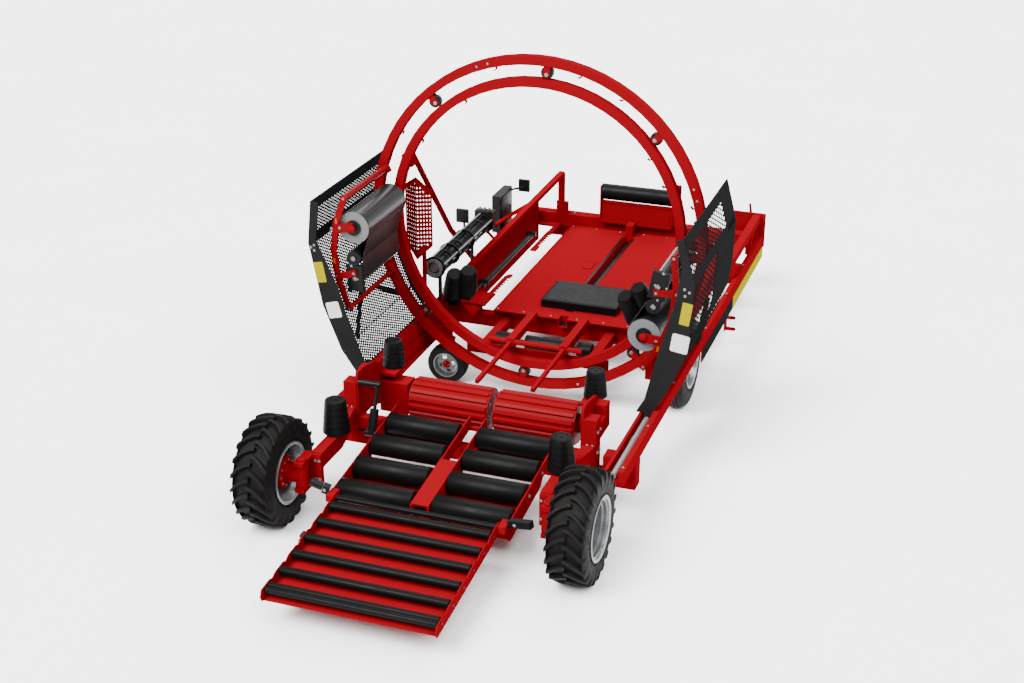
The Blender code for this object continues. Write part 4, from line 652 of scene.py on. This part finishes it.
def screen_fill(bm):
    """Two sheets that meet in a ridge, with a slot in each cell that the sloping edges leave whole."""
    posts = (((-1.185, 0.215), (1.150, 1.660)), ((-1.075, 0.160), (1.040, 1.740)),
             ((-0.965, 0.215), (1.150, 1.620)))
    thick = 0.006
    columns = 5
    rows = 20
    pitch = 0.0350
    lowest = 1.040
    for ((x0, y0), start), ((x1, y1), end) in zip(posts, posts[1:]):
        a = Vector((x0, y0, 0))
        b = Vector((x1, y1, 0))
        width = (b - a).length
        along = (b - a).normalized()
        normal = along.cross(Vector(UP))

        def edge(s, which):
            return start[which] + (end[which] - start[which]) * s / width

        def corners(s0, s1, z0, z1, back):
            verts = []
            for s, z in ((s0, z0), (s1, z0), (s1, z1), (s0, z1)):
                p = a + along * s - normal * back
                verts.append(bm.verts.new((p.x, p.y, min(max(z, edge(s, 0)), edge(s, 1)))))
            return verts

        for c in range(columns):
            cell = width / columns
            s0 = cell * c
            s1 = cell * (c + 1)
            low = (edge(s0, 0), edge(s1, 0))
            high = (edge(s0, 1), edge(s1, 1))
            for k in range(rows):
                z0 = lowest + k * pitch
                z1 = lowest + (k + 1) * pitch
                if z1 <= min(low) or z0 >= max(high):
                    continue
                slotted = z0 > max(low) + 0.012 and z1 < min(high) - 0.012
                openings = []
                for back in (0.0, thick):
                    outer = corners(s0, s1, z0, z1, back)
                    if slotted:
                        inner = corners(s0 + cell * 0.32, s0 + cell * 0.68, z0 + pitch * 0.28,
                                        z0 + pitch * 0.68, back)
                        ring_strip(bm, [outer, inner], (False, False))
                        openings.append(inner)
                    else:
                        bm.faces.new(outer)
                if slotted:
                    ring_strip(bm, openings, (False, False))
        for which in (0, 1):
            solid_bar(bm, (x0, y0 + 0.003, start[which]), (x1, y1 + 0.003, end[which]),
                      0.008, 0.010, AHEAD)
    for (x, y), heights in (posts[0], posts[2]):
        solid_box(bm, (x - 0.004, x + 0.004), (y - 0.001, y + 0.009), heights)
    bmesh.ops.remove_doubles(bm, verts=bm.verts, dist=0.00005)
    solid_box(bm, (-1.085, -1.050), (0.165, 0.286), (1.060, 1.110), 0.002)
    solid_box(bm, (-1.072, -1.046), (0.252, 0.287), (0.5403, 1.109), 0.002)
    for x, z in ((-1.135, 1.16), (-1.015, 1.16), (-1.135, 1.62), (-1.015, 1.59)):
        hex_bolt(bm, (x, 0.186, z), REAR, 0.007, 1)


piece("screen_slotted", screen_fill, [RED, ZINC], "chassis", ["hoop_screen"])

# The stretchers, by distances outwards from the turning ring and along it.
NEAR = SWEEP_BACK + 0.020
ROLL = (-0.170, -0.205)
ROLL_START = NEAR + 0.0105
ROLL_END = -0.105
CORE_R = 0.046
GUIDES = ((-0.150, 0.040), (-0.150, 0.200))     # the two stretch rollers
GUIDE_R = 0.0592


def film_fill(bm, at):
    start = at(*ROLL, ROLL_START)
    length = ROLL_END - ROLL_START
    lip = 0.014
    edge = [(lip, FILM_R - 0.004), (0.016, FILM_R - 0.0005), (0.030, FILM_R)]
    turned(bm, edge + [(length * 0.5, FILM_R - 0.0006)] + [(length - a, r) for a, r in edge[::-1]],
           start, AHEAD, 72, 0, (False, False))
    for where, sign in ((lip, 1), (length - lip, -1)):
        rings = ((FILM_R - 0.004, 0.0), (FILM_R * 0.90, 0.0006), (FILM_R * 0.78, -0.0006),
                 (FILM_R * 0.64, 0.0006), (FILM_R * 0.50, -0.0004), (CORE_R, 0.0))
        turned(bm, [(where + deep * sign, r) for r, deep in rings], start, AHEAD, 72, 1, (False, False))
    turned(bm, [(0.002, CORE_R), (length - 0.002, CORE_R)], start, AHEAD, 40, 2)
    # The web: off the roll's inner side, over both stretch rollers and back under the second.
    path = []
    for (o, a), radius, angles in (((ROLL[0] - 0.0006, ROLL[1]), FILM_R, (-0.6, -0.3, 0.0, 0.12)),
                                   (GUIDES[0], GUIDE_R, (0.16, 0.0, -0.06)),
                                   (GUIDES[1], GUIDE_R, (0.0, 0.5, 1.0, 1.5))):
        path += [(o - radius * math.cos(t), a + radius * math.sin(t)) for t in angles]
    thin = 0.0008
    ends = [[bm.verts.new(at(o - thin, a, y)) for o, a in path]
            + [bm.verts.new(at(o, a, y)) for o, a in reversed(path)]
            for y in (ROLL_START + 0.030, ROLL_END - 0.030)]
    ring_strip(bm, ends)
    turned(bm, [(-0.001, 0.034), (0.010, 0.034), (0.012, 0.020)], start, AHEAD, 32, 3)
    turned(bm, [(0.0005, 0.060), (0.0105, 0.060), (0.0135, 0.052)], start, AHEAD, 32, 3)


def stretcher_fittings(bm, at):
    for o, a, size in ((-0.130, 0.10, 0.009), (-0.130, 0.31, 0.009), (-0.085, 0.205, 0.008),
                       (-0.170, 0.205, 0.008)):
        hex_bolt(bm, at(o, a, NEAR + 0.0115), REAR, size, 1)
    for o, a in ((0.0, -0.200), (-0.070, -0.208), (-0.160, -0.214), (0.0, 0.190), (-0.150, 0.155),
                 (-0.122, -0.440), (-0.080, 0.450)):
        hex_bolt(bm, at(o, a, NEAR - 0.0085), REAR, 0.009, 1)
    turned(bm, [(0.0, 0.030), (0.012, 0.028), (0.016, 0.018)], at(*ROLL, NEAR - 0.0080), REAR, 24, 2)
    for o, a in GUIDES:
        turned(bm, [(0.0, 0.020), (0.010, 0.020), (0.014, 0.012)], at(o, a, NEAR + 0.0105), REAR, 20, 1)


def reflectors(bm, at):
    along = at(0, 1, 0) - at(0, 0, 0)
    for o, a in ((0.0, 0.060), (-0.045, -0.262)):
        plate_on(bm, at(o, a, NEAR - 0.0084), REAR, along, 0.016, 0.042, 0.003)


for name, degrees in STRETCHERS:
    def place(o, a, y, degrees=degrees):
        t = math.radians(degrees)
        return Vector(((ROTOR_R + o) * math.cos(t) - a * math.sin(t), y,
                       HOOP_Z + (ROTOR_R + o) * math.sin(t) + a * math.cos(t)))

    piece("film_roll_" + name, lambda bm: film_fill(bm, place), [FILM, FILM_END, CORE, BLACK],
          "rotor", ["film_" + name], 28)
    piece("stretcher_fittings_" + name, lambda bm: stretcher_fittings(bm, place), [RED, ZINC, RED],
          "rotor")
    piece("reflectors_" + name, lambda bm: reflectors(bm, place), [ORANGE], "rotor")


CASTERS = [-4.0 + 45.0 * k for k in range(8)]
CASTER_R = 0.0485


def ring_fittings(bm):
    for degrees in CASTERS:
        x, z = polar(RING_R + RING_T / 2 + 0.0363, degrees)
        for face in (-1, 1):
            turned(bm, [(0.0, 0.016), (0.0045, 0.015)], (x, face * 0.0306, z), (0, face, 0), 20, 1)
            hex_bolt(bm, (x, face * 0.0309, z), (0, face, 0), 0.008, 1)
    for k in range(4):
        for step in (-2.0, 2.0):
            x, z = polar(ROTOR_R, 18.5 + 90.0 * k + step)
            for face in (-1, 1):
                hex_bolt(bm, (x, face * 0.0351, z), (0, face, 0), 0.008, 1)


def ring_tabs(bm, radius, angles):
    """Small folded tabs on the inner edge of a ring."""
    for degrees in angles:
        t = math.radians(degrees)
        x0, z0 = polar(radius + 0.003, degrees)
        x1, z1 = polar(radius - 0.018, degrees)
        x2, z2 = polar(radius - 0.024, degrees + 1.0)
        solid_bar(bm, (x0, -0.020, z0), (x1, -0.020, z1), 0.030, 0.006, (math.sin(t), 0, 0.3))
        solid_bar(bm, (x1, -0.020, z1), (x2, -0.020, z2), 0.030, 0.006, (math.cos(t), 0, 0.3))


def caster_tyres(bm):
    """Black caster wheels round the ones in the part; they run on the fixed ring's outside."""
    half = [(0.012, -0.0254), (0.034, -0.0258), (0.0415, -0.0240), (CASTER_R - 0.0003, -0.0195)]
    outline = half + [(CASTER_R, 0.0)] + [(r, -a) for r, a in reversed(half)]
    for degrees in CASTERS:
        x, z = polar(RING_R + RING_T / 2 + CASTER_R + 0.0003, degrees)
        lathe(bm, outline, (x, 0, z), AHEAD, 40)


piece("ring_bolts", ring_fittings, [RED, ZINC], "rotor")
piece("ring_tabs_turning", lambda bm: ring_tabs(bm, ROTOR_R - RING_T / 2, (14, 58, 74, 104, 148)),
      [RED], "rotor")
piece("ring_tabs_fixed", lambda bm: ring_tabs(bm, RING_R - RING_T / 2, (24, 36, 120, 146)), [RED])
piece("caster_treads", caster_tyres, [BLACK], "rotor")


def chassis_bolts(bm):
    for y, z in ((-1.05, 0.46), (-1.20, 0.66), (-1.36, 0.74)):
        hex_bolt(bm, (POST_IN, y, z), (-1, 0, 0), 0.010)
    for side in (-1, 1):
        for y in (-1.505, -1.445):
            for z in (0.46, 0.62):
                hex_bolt(bm, (side * 0.970, y, z), (side, 0, 0), 0.010)
        for z in (0.44, 0.52):
            for x in (0.905, 0.945):
                hex_bolt(bm, (side * x, -1.532, z), REAR, 0.0085)
        # The cap of the steering pin and the bolts of the arm's end.
        turned(bm, [(0.0, 0.036), (0.012, 0.034), (0.016, 0.024)],
               (side * 0.900, REAR_Y, TYRE_R + 0.118), UP, 24, 1)
        for x in (0.815, 0.845):
            for z in (-0.07, 0.07):
                hex_bolt(bm, (side * x, REAR_Y + 0.10, TYRE_R + z), REAR, 0.009)
    # Rows along Y on the right beam and on the left rail.
    for x, z, row in ((1.255, 0.570, (-1.85, -1.20, -0.45, 0.62, 1.40, 2.10, 2.95)),
                      (-1.045, 0.540, (0.85, 1.30, 1.75, 2.20, 2.65))):
        for y in row:
            hex_bolt(bm, (x, y, z), UP, 0.009)
    # Rows along X: ring mounts, the deck's rear and front edge, and the front cross member.
    for y, z, size, row in ((0.055, 0.420, 0.009, (-0.55, -0.46, 0.46, 0.55)),
                            (0.595, DECK_Z, 0.007, (-0.53, -0.30, -0.06, 0.17, 0.40, 0.61)),
                            (2.735, DECK_Z, 0.007, (-0.53, -0.30, -0.06, 0.17, 0.40, 0.61)),
                            (2.840, 0.600, 0.010, (-0.55, -0.20, 0.20, 0.55, 0.90))):
        for x in row:
            hex_bolt(bm, (x, y, z), UP, size)


def deck_details(bm):
    """A small cover plate and lips along the deck's sides."""
    solid_box(bm, (-0.135, -0.045), (1.72, 1.92), (DECK_Z, DECK_Z + 0.006), 0.002)
    for x in (-0.557, 0.625):
        solid_box(bm, (x, x + 0.012), (0.57, 2.75), (DECK_Z, DECK_Z + 0.004), 0.001)


def slot_bottom(bm):
    solid_box(bm, (0.0225, 0.0875), (0.580, 2.60), (DECK_Z - 0.0640, DECK_Z - 0.0600))
    for x in (-0.0050, 0.0940):
        solid_box(bm, (x, x + 0.0210), (1.215, 2.60), (DECK_Z, DECK_Z + 0.0030))


def pad_top(bm):
    """The rubber pad: slightly crowned top with a rounded rim and shallow ribs."""
    x0, y0, z0 = -0.200, 0.760, DECK_Z + 0.0004
    long_x, long_y = 0.660, 0.450
    top = DECK_Z + 0.078
    nx, ny = 34, 24
    grid = []
    for i in range(nx + 1):
        row = []
        for j in range(ny + 1):
            u = i / nx
            v = j / ny
            from_edge = min(min(u, 1 - u) * long_x, min(v, 1 - v) * long_y)
            drop = 0.010 * max(0.0, 1 - from_edge / 0.016) ** 2
            wave = 0.0016 * math.sin(u * 9.0) * math.sin(v * 7.0)
            row.append(bm.verts.new((x0 + long_x * u, y0 + long_y * v, top - drop + wave)))
        grid.append(row)
    for i in range(nx):
        for j in range(ny):
            bm.faces.new((grid[i][j], grid[i + 1][j], grid[i + 1][j + 1], grid[i][j + 1]))
    border = [grid[i][0] for i in range(nx + 1)] + [grid[nx][j] for j in range(1, ny + 1)]
    border += [grid[i][ny] for i in range(nx - 1, -1, -1)]
    border += [grid[0][j] for j in range(ny - 1, 0, -1)]
    low = [bm.verts.new((v.co.x, v.co.y, z0)) for v in border]
    ring_strip(bm, [low, border], (True, False))


piece("bolts_chassis", chassis_bolts, [ZINC, RED])
piece("deck_trim", deck_details, [RED])
piece("slot_lining", slot_bottom, [BLACK])
piece("bale_pad", pad_top, [PAD], "chassis", ["deck_pad"], 50)


def ribbed_cone(bm, foot, height, r0, r1):
    """An upright rubber cone with a fine groove at every fifth step and a hollow at its tip."""
    count = 26
    points = [(0.0, r0 * 0.80), (0.003, r0 * 0.86), (0.010, r0)]
    for k in range(1, count):
        s = k / count
        groove = 0.0022 if k % 5 == 0 else 0.0
        points.append((0.010 + (height - 0.026) * s, r0 + (r1 - r0) * s - groove))
    for below, share in ((0.016, 0.985), (0.007, 0.93), (0.002, 0.80), (0.0, 0.60), (0.006, 0.50),
                         (0.006, 0.18), (0.001, 0.16)):
        points.append((height - below, r1 * share))
    turned(bm, points, foot, UP, 48)


def stand_cones(bm):
    for side in (-1, 1):
        ribbed_cone(bm, (side * 0.800, -0.987, 0.6323), 0.215, 0.088, 0.070)


def rear_cones(bm):
    for side in (-1, 1):
        ribbed_cone(bm, (side * (TRACK / 2 - 0.2805), REAR_Y + 0.45, 0.5203), 0.262, 0.100, 0.078)


def arch_latches(bm):
    """Round latch plates and their handles on the posts' rounded plates."""
    for side in (-1, 1):
        at = (side * POST_IN, -1.300, 0.600)
        turned(bm, [(0.0, 0.034), (0.006, 0.034), (0.008, 0.028)], at, (-side, 0, 0), 28)
        turned(bm, [(0.006, 0.012), (0.030, 0.011), (0.036, 0.006)], at, (-side, 0, 0), 16, 1)
        x = side * (POST_IN - 0.012)
        solid_bar(bm, (x, -1.300, 0.600), (x, -1.230, 0.560), 0.012, 0.008, UP, 1)


piece("cones_mid", stand_cones, [CONE], "chassis", ["cone_mid_left", "cone_mid_right"])
piece("cones_rear", rear_cones, [CONE], "chassis", ["cone_rear_left", "cone_rear_right"])
piece("post_latches", arch_latches, [RED, ZINC])


def yellow_plates(bm):
    """A long strip on the right beam's outer face, and small plates."""
    plate_on(bm, (BEAM_FACE, 2.270, 0.398), RIGHT, UP, 1.30, 0.112)
    plate_on(bm, (1.150, -1.270, 0.4822), UP, AHEAD, 0.032, 0.120)
    plate_on(bm, (-1.400, GUARD_Y[0], 1.305), REAR, (-0.19, 0, 1), 0.078, 0.165)
    plate_on(bm, (1.437, GUARD_Y[0], 1.364), REAR, (0.14, 0, 1), 0.074, 0.172)


def beam_tabs(bm):
    """Two short red stubs with round ends that stick out under the right beam."""
    for y, z in ((1.55, 0.287), (1.58, 0.168)):
        solid_bar(bm, (1.225, y, z), (1.300, y, z), 0.045, 0.016)
        turned(bm, [(-0.008, 0.0225), (0.008, 0.0225)], (1.300, y, z), UP, 24)
    solid_box(bm, (1.226, 1.240), (1.535, 1.595), (0.160, 0.345))


def white_plates(bm):
    plate_on(bm, (-1.300, GUARD_Y[0], 1.008), REAR, (-0.26, 0, 1), 0.110, 0.130)
    plate_on(bm, (1.404, GUARD_Y[0], 1.132), REAR, (0.14, 0, 1), 0.128, 0.140)


def black_strip(bm):
    plate_on(bm, (BEAM_FACE, 1.040, 0.398), RIGHT, UP, 1.16, 0.112)


def lamp_lenses(bm):
    solid_box(bm, (-1.118, -1.022), (1.1905, 1.1935), (1.022, 1.128), 0.004)
    solid_box(bm, (-0.948, -0.857), (2.3655, 2.3685), (0.948, 1.047), 0.004)


piece("yellow_plates", yellow_plates, [YELLOW])
piece("beam_tabs", beam_tabs, [RED])
piece("white_plates", white_plates, [WHITE])
piece("black_strip", black_strip, [GUARD])
piece("lamp_lenses", lamp_lenses, [LENS])


def unit_details(bm):
    """Bands, tie rods and bolts of the hydraulic unit; hinges and latch of the cabinet."""
    ux, uz = UNIT
    for r, inner, row in ((0.0775, 0.060, (0.52, 0.78, 1.04, 1.30)),
                          (0.096, 0.074, (0.3050, 0.640, 1.000, 1.470))):
        band = [(r - 0.002, -0.006), (r, -0.004), (r, 0.004), (r - 0.002, 0.006), (inner, 0.006),
                (inner, -0.006)]
        for y in row:
            lathe(bm, band, (ux, y, uz), AHEAD, 40)
    turned(bm, [(0.0, 0.040), (0.004, 0.040), (0.006, 0.034)], (ux, 0.2995, uz), REAR, 32, 1)
    for t in around(6, 0.5):
        at = (ux + 0.066 * math.cos(t), 0.2998, uz + 0.066 * math.sin(t))
        hex_bolt(bm, at, REAR, 0.008, 1)
    for degrees in (20, 110, 200, 290):
        t = math.radians(degrees)
        at = (ux + 0.083 * math.cos(t), 0.305, uz + 0.083 * math.sin(t))
        turned(bm, [(0.0, 0.009), (1.173, 0.009)], at, AHEAD, 12, 2)
    lathe(bm, [(0.078, -0.012), (0.078, 0.0), (0.050, 0.0), (0.050, -0.012)], (ux, 0.2990, uz),
          AHEAD, 40, 2)
    for dx in (-0.06, 0.06):
        for z in (0.985, 0.895):
            hex_bolt(bm, (ux + dx, 1.5555, z), AHEAD, 0.009, 1)
    for x in (-1.03, ux, -0.94):
        turned(bm, [(0.0, 0.014), (0.012, 0.014), (0.012, 0.010), (0.026, 0.010)], (x, 1.51, 1.0248),
               UP, 16, 1)
    door = (-0.9850, -0.9790)
    for z in (0.705, 0.935):
        turned(bm, [(0.0, 0.008), (0.05, 0.008)], (door[0], 1.905, z), UP, 12)
    solid_box(bm, door, (1.930, 2.215), (0.690, 1.000), 0.003)
    turned(bm, [(0.0, 0.012), (0.010, 0.011), (0.012, 0.006)], (door[1], 2.180, 0.850), RIGHT, 16, 1)


piece("unit_fittings", unit_details, [BLACK, ZINC, SILVER])


def rubber_roller(bm, half, y, z, radius, middle=0.0):
    """A sleeved roller along X with rounded ends, on a thinner journal."""
    end = [(0.0, radius * 0.30), (0.006, radius * 0.30), (0.006, radius * 0.86),
           (0.009, radius * 0.95), (0.015, radius)]
    points = end + [(half, radius)] + [(2 * half - a, r) for a, r in end[::-1]]
    turned(bm, points, (middle - half, y, z), RIGHT, 36)


def ramp_row(k):
    """y and z of the ramp's rollers, from its free end."""
    y = RAMP_HINGE[0] - RAMP_LONG + 0.060 + k * RAMP_STEP
    return y, RAMP_HINGE[1] + RAMP_SLOPE * (y - RAMP_HINGE[0])


def ramp_rollers(bm):
    y, z = ramp_row(0)
    for shift in (-0.024, 0.024):
        rubber_roller(bm, 0.5857, y + shift, z + 0.004 + RAMP_SLOPE * shift, 0.022)
    solid_box(bm, (-0.5850, 0.5850), (y - 0.030, y + 0.030), (z - 0.016, z + 0.012), 0.004)
    for k in range(1, 6):
        y, z = ramp_row(k)
        rubber_roller(bm, 0.5857, y, z + 0.002, 0.031)


def hinge_sleeve(bm):
    rubber_roller(bm, 0.5850, *RAMP_HINGE, 0.0215)


def side_couplings(bm):
    """Black couplings with square ends beside the platform's rear corners."""
    solid_bar(bm, (-0.655, -2.455, 0.362), (-0.700, -2.465, 0.380), 0.052, 0.060)
    turned(bm, [(0.0, 0.026), (0.004, 0.030), (0.090, 0.030), (0.094, 0.026)],
           (-0.700, -2.465, 0.385), (-0.90, -0.20, 0.38), 24)
    solid_bar(bm, (0.655, -2.455, 0.362), (0.820, -2.485, 0.395), 0.050, 0.050)
    for spot in ((-0.678, -2.487, 0.372), (0.700, -2.490, 0.370)):
        hex_bolt(bm, spot, REAR, 0.010, 1)


def ramp_latch(bm):
    """A small catch on the ramp's left side with its pin and ring."""
    solid_box(bm, (-0.6250, -0.5945), (-2.985, -2.925), (0.275, 0.315), 0.003)
    turned(bm, [(0.0, 0.007), (0.045, 0.007)], (-0.6120, -3.020, 0.295), AHEAD, 12, 1)
    lathe(bm, [(0.011, -0.002), (0.015, -0.002), (0.015, 0.002), (0.011, 0.002)],
          (-0.6120, -3.018, 0.280), RIGHT, 20, 1)


piece("ramp_rollers", ramp_rollers, [ROLLER], "ramp", ["ramp_rollers"])
piece("hinge_sleeve", hinge_sleeve, [ROLLER], "ramp")
piece("side_couplings", side_couplings, [BLACK, ZINC])
piece("ramp_latch", ramp_latch, [BLACK, ZINC], "ramp")


def platform_row(k):
    """y and z of the platform's rollers, from its rear end."""
    y = -2.440 + 0.10 + k * 0.285
    return y, 0.305 + (y + 2.440) / 1.140 * 0.125


def roller_field(bm, side):
    for k in range(4):
        rubber_roller(bm, 0.2855, *platform_row(k), 0.080, side * 0.3535)


for side, name in SIDES:
    piece("roller_field_" + name, lambda bm: roller_field(bm, side), [ROLLER], "chassis",
          ["platform_rollers_" + name])


def ramp_bolts(bm):
    for k in range(6):
        for side in (-1, 1):
            hex_bolt(bm, (side * 0.5941, *ramp_row(k)), (side, 0, 0), 0.008)


def platform_bolts(bm):
    for k in range(4):
        for side in (-1, 1):
            hex_bolt(bm, (side * 0.652, *platform_row(k)), (side, 0, 0), 0.010)


def drum_bolts(bm, side):
    x = 0.0325 if side < 0 else 0.0775
    for t in around(8):
        hex_bolt(bm, (x, -1.062 + 0.115 * math.cos(t), 0.43 + 0.115 * math.sin(t)), (-side, 0, 0), 0.008)


piece("bolts_ramp", ramp_bolts, [BLACK], "ramp")
piece("bolts_platform", platform_bolts, [ZINC])
for side, name in SIDES:
    piece("drum_bolts_" + name, lambda bm: drum_bolts(bm, side), [ZINC], "drum_body_" + name)


def pusher_details(bm):
    x0, x1 = -0.255, 0.435
    for z in (0.590, 0.785):
        solid_bar(bm, (x0 + 0.004, 2.7342, z), (x1 - 0.004, 2.7342, z), 0.006, 0.010)
    solid_box(bm, (x0 + 0.002, x1 - 0.002), (2.7352, 2.7380), (0.790, 0.8095))
    for x, way in ((x0 - 0.012, -1), (x1 + 0.012, 1)):
        hex_bolt(bm, (x, 2.775, 0.880), (way, 0, 0), 0.012, 1)


piece("pusher_fittings", pusher_details, [RED, ZINC], "pusher_body")

# The studio: a wide pale floor, an even sky, three soft suns and the photograph's camera.
floor_mat, floor_tree, floor_bsdf = node_tree("studio_floor")
floor_tone = ramp(floor_tree, noise(floor_tree, 0.6),
                  [(0.3, (0.93, 0.93, 0.93, 1)), (0.7, (0.95, 0.95, 0.95, 1))])
floor_tree.links.new(floor_tone, floor_bsdf.inputs["Base Color"])
put(floor_bsdf, {"Roughness": 0.85, "Specular IOR Level": 0.1})
reach = 40.0
mesh = bpy.data.meshes.new("studio_floor")
mesh.from_pydata([(-reach, -reach, 0), (reach, -reach, 0), (reach, reach, 0), (-reach, reach, 0)],
                 [], [(0, 1, 2, 3)])
mesh.materials.append(floor_mat)
floor = bpy.data.objects.new("studio_floor", mesh)
bpy.context.collection.objects.link(floor)

world = bpy.data.worlds.new("studio")
bpy.context.scene.world = world
world.use_nodes = True
back = world.node_tree.nodes["Background"]
put(back, {"Color": (1.0, 1.0, 1.0, 1.0), "Strength": 0.95})


def soft_sun(name, way, strength, softness):
    light = bpy.data.lights.new(name, "SUN")
    light.energy = strength
    light.angle = math.radians(softness)
    obj = bpy.data.objects.new(name, light)
    bpy.context.collection.objects.link(obj)
    obj.location = (0, 0, 10)
    obj.rotation_euler = Vector(way).to_track_quat("-Z", "Y").to_euler()


soft_sun("key", (0.50, 0.95, -1.35), 9.4, 34.0)
soft_sun("fill", (-0.75, 0.35, -1.20), 4.2, 44.0)
soft_sun("rim", (0.10, -0.85, -1.10), 2.4, 50.0)

camera = bpy.data.cameras.new("camera")
camera.lens = 54.6
camera.sensor_width = 36.0
camera.clip_end = 200.0
cam = bpy.data.objects.new("camera", camera)
bpy.context.collection.objects.link(cam)
cam.location = (3.616, -10.792, 5.691)
cam.rotation_euler = (math.radians(90 - 24.40), 0.0, math.radians(19.45))
bpy.context.scene.camera = cam

bpy.context.view_layer.update()
